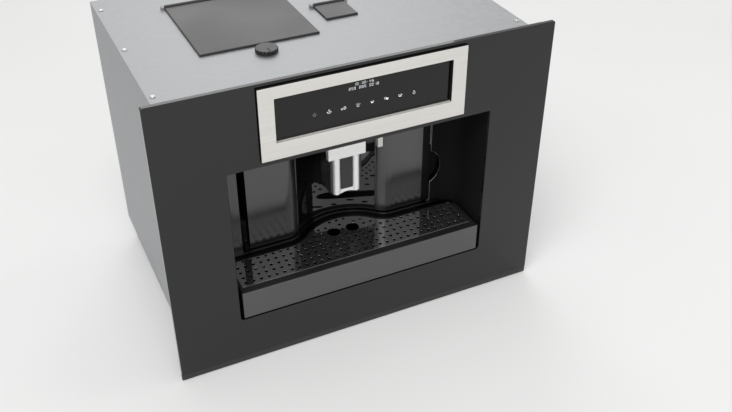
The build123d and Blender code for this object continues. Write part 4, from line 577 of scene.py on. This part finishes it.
# the seven segments of a digit: top, upper left, upper right, middle, lower left, lower right, bottom
DIGIT_W, DIGIT_H, DIGIT_PITCH = 2.0, 3.3, 3.75             # millimetres
SEGMENT = 0.27                 # width of a digit's strokes
COLON_DOT = 0.7 * SEGMENT
SEGMENTS = [
    ((0, 1), (1, 1)),
    ((0, 0.5), (0, 1)),
    ((1, 0.5), (1, 1)),
    ((0, 0.5), (1, 0.5)),
    ((0, 0), (0, 0.5)),
    ((1, 0), (1, 0.5)),
    ((0, 0), (1, 0)),
]
LIT_SEGMENTS = {
    "0": (0, 1, 2, 4, 5, 6),
    "1": (2, 5),
    "2": (0, 2, 3, 4, 6),
    "3": (0, 2, 3, 5, 6),
    "4": (1, 2, 3, 5),
    "5": (0, 1, 3, 5, 6),
    "6": (0, 1, 3, 4, 5, 6),
    "7": (0, 2, 5),
    "8": (0, 1, 2, 3, 4, 5, 6),
    "9": (0, 1, 2, 3, 5, 6),
}
DISPLAY_ROWS = (("10:30:45", 425.3), ("250 095 0018", 419.7))     # text and its middle's height
ROW_MIDDLE = -2.0              # the rows' middle lies left of the machine's


def draw_digits(made):
    for text, row_z in DISPLAY_ROWS:
        start = ROW_MIDDLE - (len(text) - 1) / 2 * DIGIT_PITCH - DIGIT_W / 2
        for place_in_row, sign in enumerate(text):
            place = on_display((start + place_in_row * DIGIT_PITCH) * MM, (row_z - DIGIT_H / 2) * MM)
            if sign == ":":
                for v in (0.3, 0.7):
                    prism(made, spot(DIGIT_W / 2, v * DIGIT_H, COLON_DOT), place, 0, INK)
            for segment in LIT_SEGMENTS.get(sign, ()):
                (a, b), (c, d) = SEGMENTS[segment]
                line = stroke(a * DIGIT_W, b * DIGIT_H, c * DIGIT_W, d * DIGIT_H, SEGMENT)
                prism(made, line, place, 0, INK)


piece("display_digits", "machine", symbol_white, draw_digits)


# ---------------------------------------------------------------- cross-recess screws
HEAD_R, HEAD = 3.5, 1.8        # radius and height of a screw's head, in millimetres
SHANK_R, SHANK = 1.5, 8.0      # radius and length of its shank
PROFILE = (                    # radius and height of each ring, from the shank's tip to the head's top
    (SHANK_R, -SHANK),
    (SHANK_R, 0.0),
    (HEAD_R, 0.0),
    (HEAD_R, 0.9),
    (HEAD_R * 0.96, 1.25),
    (HEAD_R * 0.86, 1.55),
    (HEAD_R * 0.7, HEAD),
)
RECESS, RECESS_ARM, RECESS_HALF_WIDTH = 1.1, 1.9, 0.45     # depth, arm's length and half its width
RECESS_TAPER = 0.6             # the recess's bottom is this much of its rim
ROUND = 28                     # sides of a round head
TOP_SHEET = 2 * MM             # the top cover's thickness on the side panels
TOP_ROW_INSET = 40 * MM        # the rearmost top screws stand this far before the rear cover
REAR_ROW_INSET = 22 * MM       # the highest rear screws sit this far under the top


def screw_places():
    """Where the screws sit and which way their heads look, from the plain screws' and panels' boxes."""
    cover_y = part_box("rear_cover")[1].y
    top_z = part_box("right_side_panel")[1].z + TOP_SHEET
    low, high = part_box("cover_screws")
    screw_x = high.x - HEAD_R * MM
    top_y = (low.y + HEAD_R * MM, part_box("rear_cover")[0].y - TOP_ROW_INSET)
    rear_z = (low.z + HEAD_R * MM, top_z - REAR_ROW_INSET)
    places = []
    for side in (-1, 1):
        for y in (top_y[0], sum(top_y) / 2, top_y[1]):
            places.append((Vector((side * screw_x, y, top_z)), "up"))
        for z in (rear_z[0], sum(rear_z) / 2, rear_z[1]):
            places.append((Vector((side * screw_x, cover_y, z)), "rear"))
    return places


def draw_screw(made, origin, way):
    """A screw whose head rests at the origin and looks up or to the rear."""

    def place(u, v, height):
        shift = (u, v, height) if way == "up" else (u, height, v)
        return origin + Vector(shift) * MM

    turns = [2 * math.pi * i / ROUND for i in range(ROUND)]
    rings = []
    for radius, height in PROFILE:
        points = [place(radius * math.cos(t), radius * math.sin(t), height) for t in turns]
        rings.append([made.verts.new(point) for point in points])
    for low, high in zip(rings, rings[1:]):
        for i in range(ROUND):
            made.faces.new((low[i], low[(i + 1) % ROUND], high[(i + 1) % ROUND], high[i]))
    made.faces.new(reversed(rings[0]))
    arm, half = RECESS_ARM, RECESS_HALF_WIDTH
    cross = []
    for quarter in range(4):
        turn = Matrix.Rotation(quarter * math.pi / 2, 2)
        for point in ((arm, -half), (arm, half), (half, half)):
            cross.append(turn @ Vector(point))
    rim = [made.verts.new(place(p.x, p.y, HEAD)) for p in cross]
    bottom = [made.verts.new(place(p.x * RECESS_TAPER, p.y * RECESS_TAPER, HEAD - RECESS)) for p in cross]
    for i in range(len(cross)):
        j = (i + 1) % len(cross)
        made.faces.new((rim[j], rim[i], bottom[i], bottom[j]))
    made.faces.new(bottom)
    loops = [[v.co for v in rings[-1]], [v.co for v in reversed(rim)]]
    corners = rings[-1] + list(reversed(rim))
    for a, b, c in tessellate_polygon(loops):
        made.faces.new((corners[a], corners[b], corners[c]))


def draw_screws(made):
    for origin, way in screw_places():
        draw_screw(made, origin, way)


screws = piece("cross_recess_screws", "machine", looks["zinc_steel"].material, draw_screws)
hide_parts("cover_screws")

# ---------------------------------------------------------------- floor, light and camera
FLOOR_HALF = 40.0
WORLD_ON_OBJECT = 0.55         # the world's strength as light on the object
WORLD_SEEN = 0.86              # and where it is seen: by the camera, mirrored, or through clear parts
MIDDLE = (0.0, -0.1, 0.22)     # the lamps look here
LAMPS = (                      # name, place, side in metres, watts
    ("key", (-1.1, -1.6, 3.2), 2.2, 76),
    ("fill", (3.1, -0.35, 1.6), 2.2, 16),
    ("rim", (0.8, 2.6, 2.4), 2.0, 22),
)
# the photo's camera, solved from the appliance's straight edges
CAMERA_LENS = 45.33
CAMERA_SENSOR = 36.0
CAMERA_PLACE = (-0.4676, -1.1778, 0.9917)
CAMERA_RIGHT = Vector((0.90289, -0.42988, 0.0))
CAMERA_FORWARD = Vector((0.35161, 0.73850, -0.57532))


def make_floor():
    mesh = bpy.data.meshes.new("floor")
    made = bmesh.new()
    bmesh.ops.create_grid(made, x_segments=8, y_segments=8, size=FLOOR_HALF)
    made.to_mesh(mesh)
    made.free()
    look = Look("floor", gray(0.8), 0.85)
    look.colors(look.noise(1.5, 2.0), [gray(0.785), gray(0.815)])
    mesh.materials.append(look.material)
    floor = bpy.data.objects.new("floor", mesh)
    bpy.context.scene.collection.objects.link(floor)


def make_world():
    """A plain pale studio, brighter where it is seen than as light."""
    world = bpy.data.worlds.new("studio")
    world.use_nodes = True
    bpy.context.scene.world = world
    tree = world.node_tree
    background = tree.nodes["Background"]
    background.inputs["Color"].default_value = (1.0, 0.995, 0.985, 1)
    path = tree.nodes.new("ShaderNodeLightPath")
    seen = path.outputs["Is Camera Ray"]
    for ray in ("Is Glossy Ray", "Is Transmission Ray"):
        either = tree.nodes.new("ShaderNodeMath")
        either.operation = "MAXIMUM"
        tree.links.new(seen, either.inputs[0])
        tree.links.new(path.outputs[ray], either.inputs[1])
        seen = either.outputs[0]
    level = tree.nodes.new("ShaderNodeMapRange")
    level.inputs["To Min"].default_value = WORLD_ON_OBJECT
    level.inputs["To Max"].default_value = WORLD_SEEN
    tree.links.new(seen, level.inputs["Value"])
    tree.links.new(level.outputs["Result"], background.inputs["Strength"])


def make_lamp(name, place, side, watts):
    """A soft square lamp that looks at the object's middle."""
    light = bpy.data.lights.new(name, "AREA")
    light.size = side
    light.energy = watts
    holder = bpy.data.objects.new(name, light)
    bpy.context.scene.collection.objects.link(holder)
    holder.location = place
    holder.rotation_euler = (Vector(MIDDLE) - Vector(place)).to_track_quat("-Z", "Y").to_euler()


def make_camera():
    data = bpy.data.cameras.new("camera")
    data.lens = CAMERA_LENS
    data.sensor_width = CAMERA_SENSOR
    camera = bpy.data.objects.new("camera", data)
    bpy.context.scene.collection.objects.link(camera)
    turn = Matrix((CAMERA_RIGHT, CAMERA_RIGHT.cross(CAMERA_FORWARD), -CAMERA_FORWARD)).transposed().to_4x4()
    camera.matrix_world = Matrix.Translation(CAMERA_PLACE) @ turn
    return camera


make_floor()
make_world()
for lamp in LAMPS:
    make_lamp(*lamp)
bpy.context.scene.camera = make_camera()
bpy.context.scene.view_settings.view_transform = "Standard"
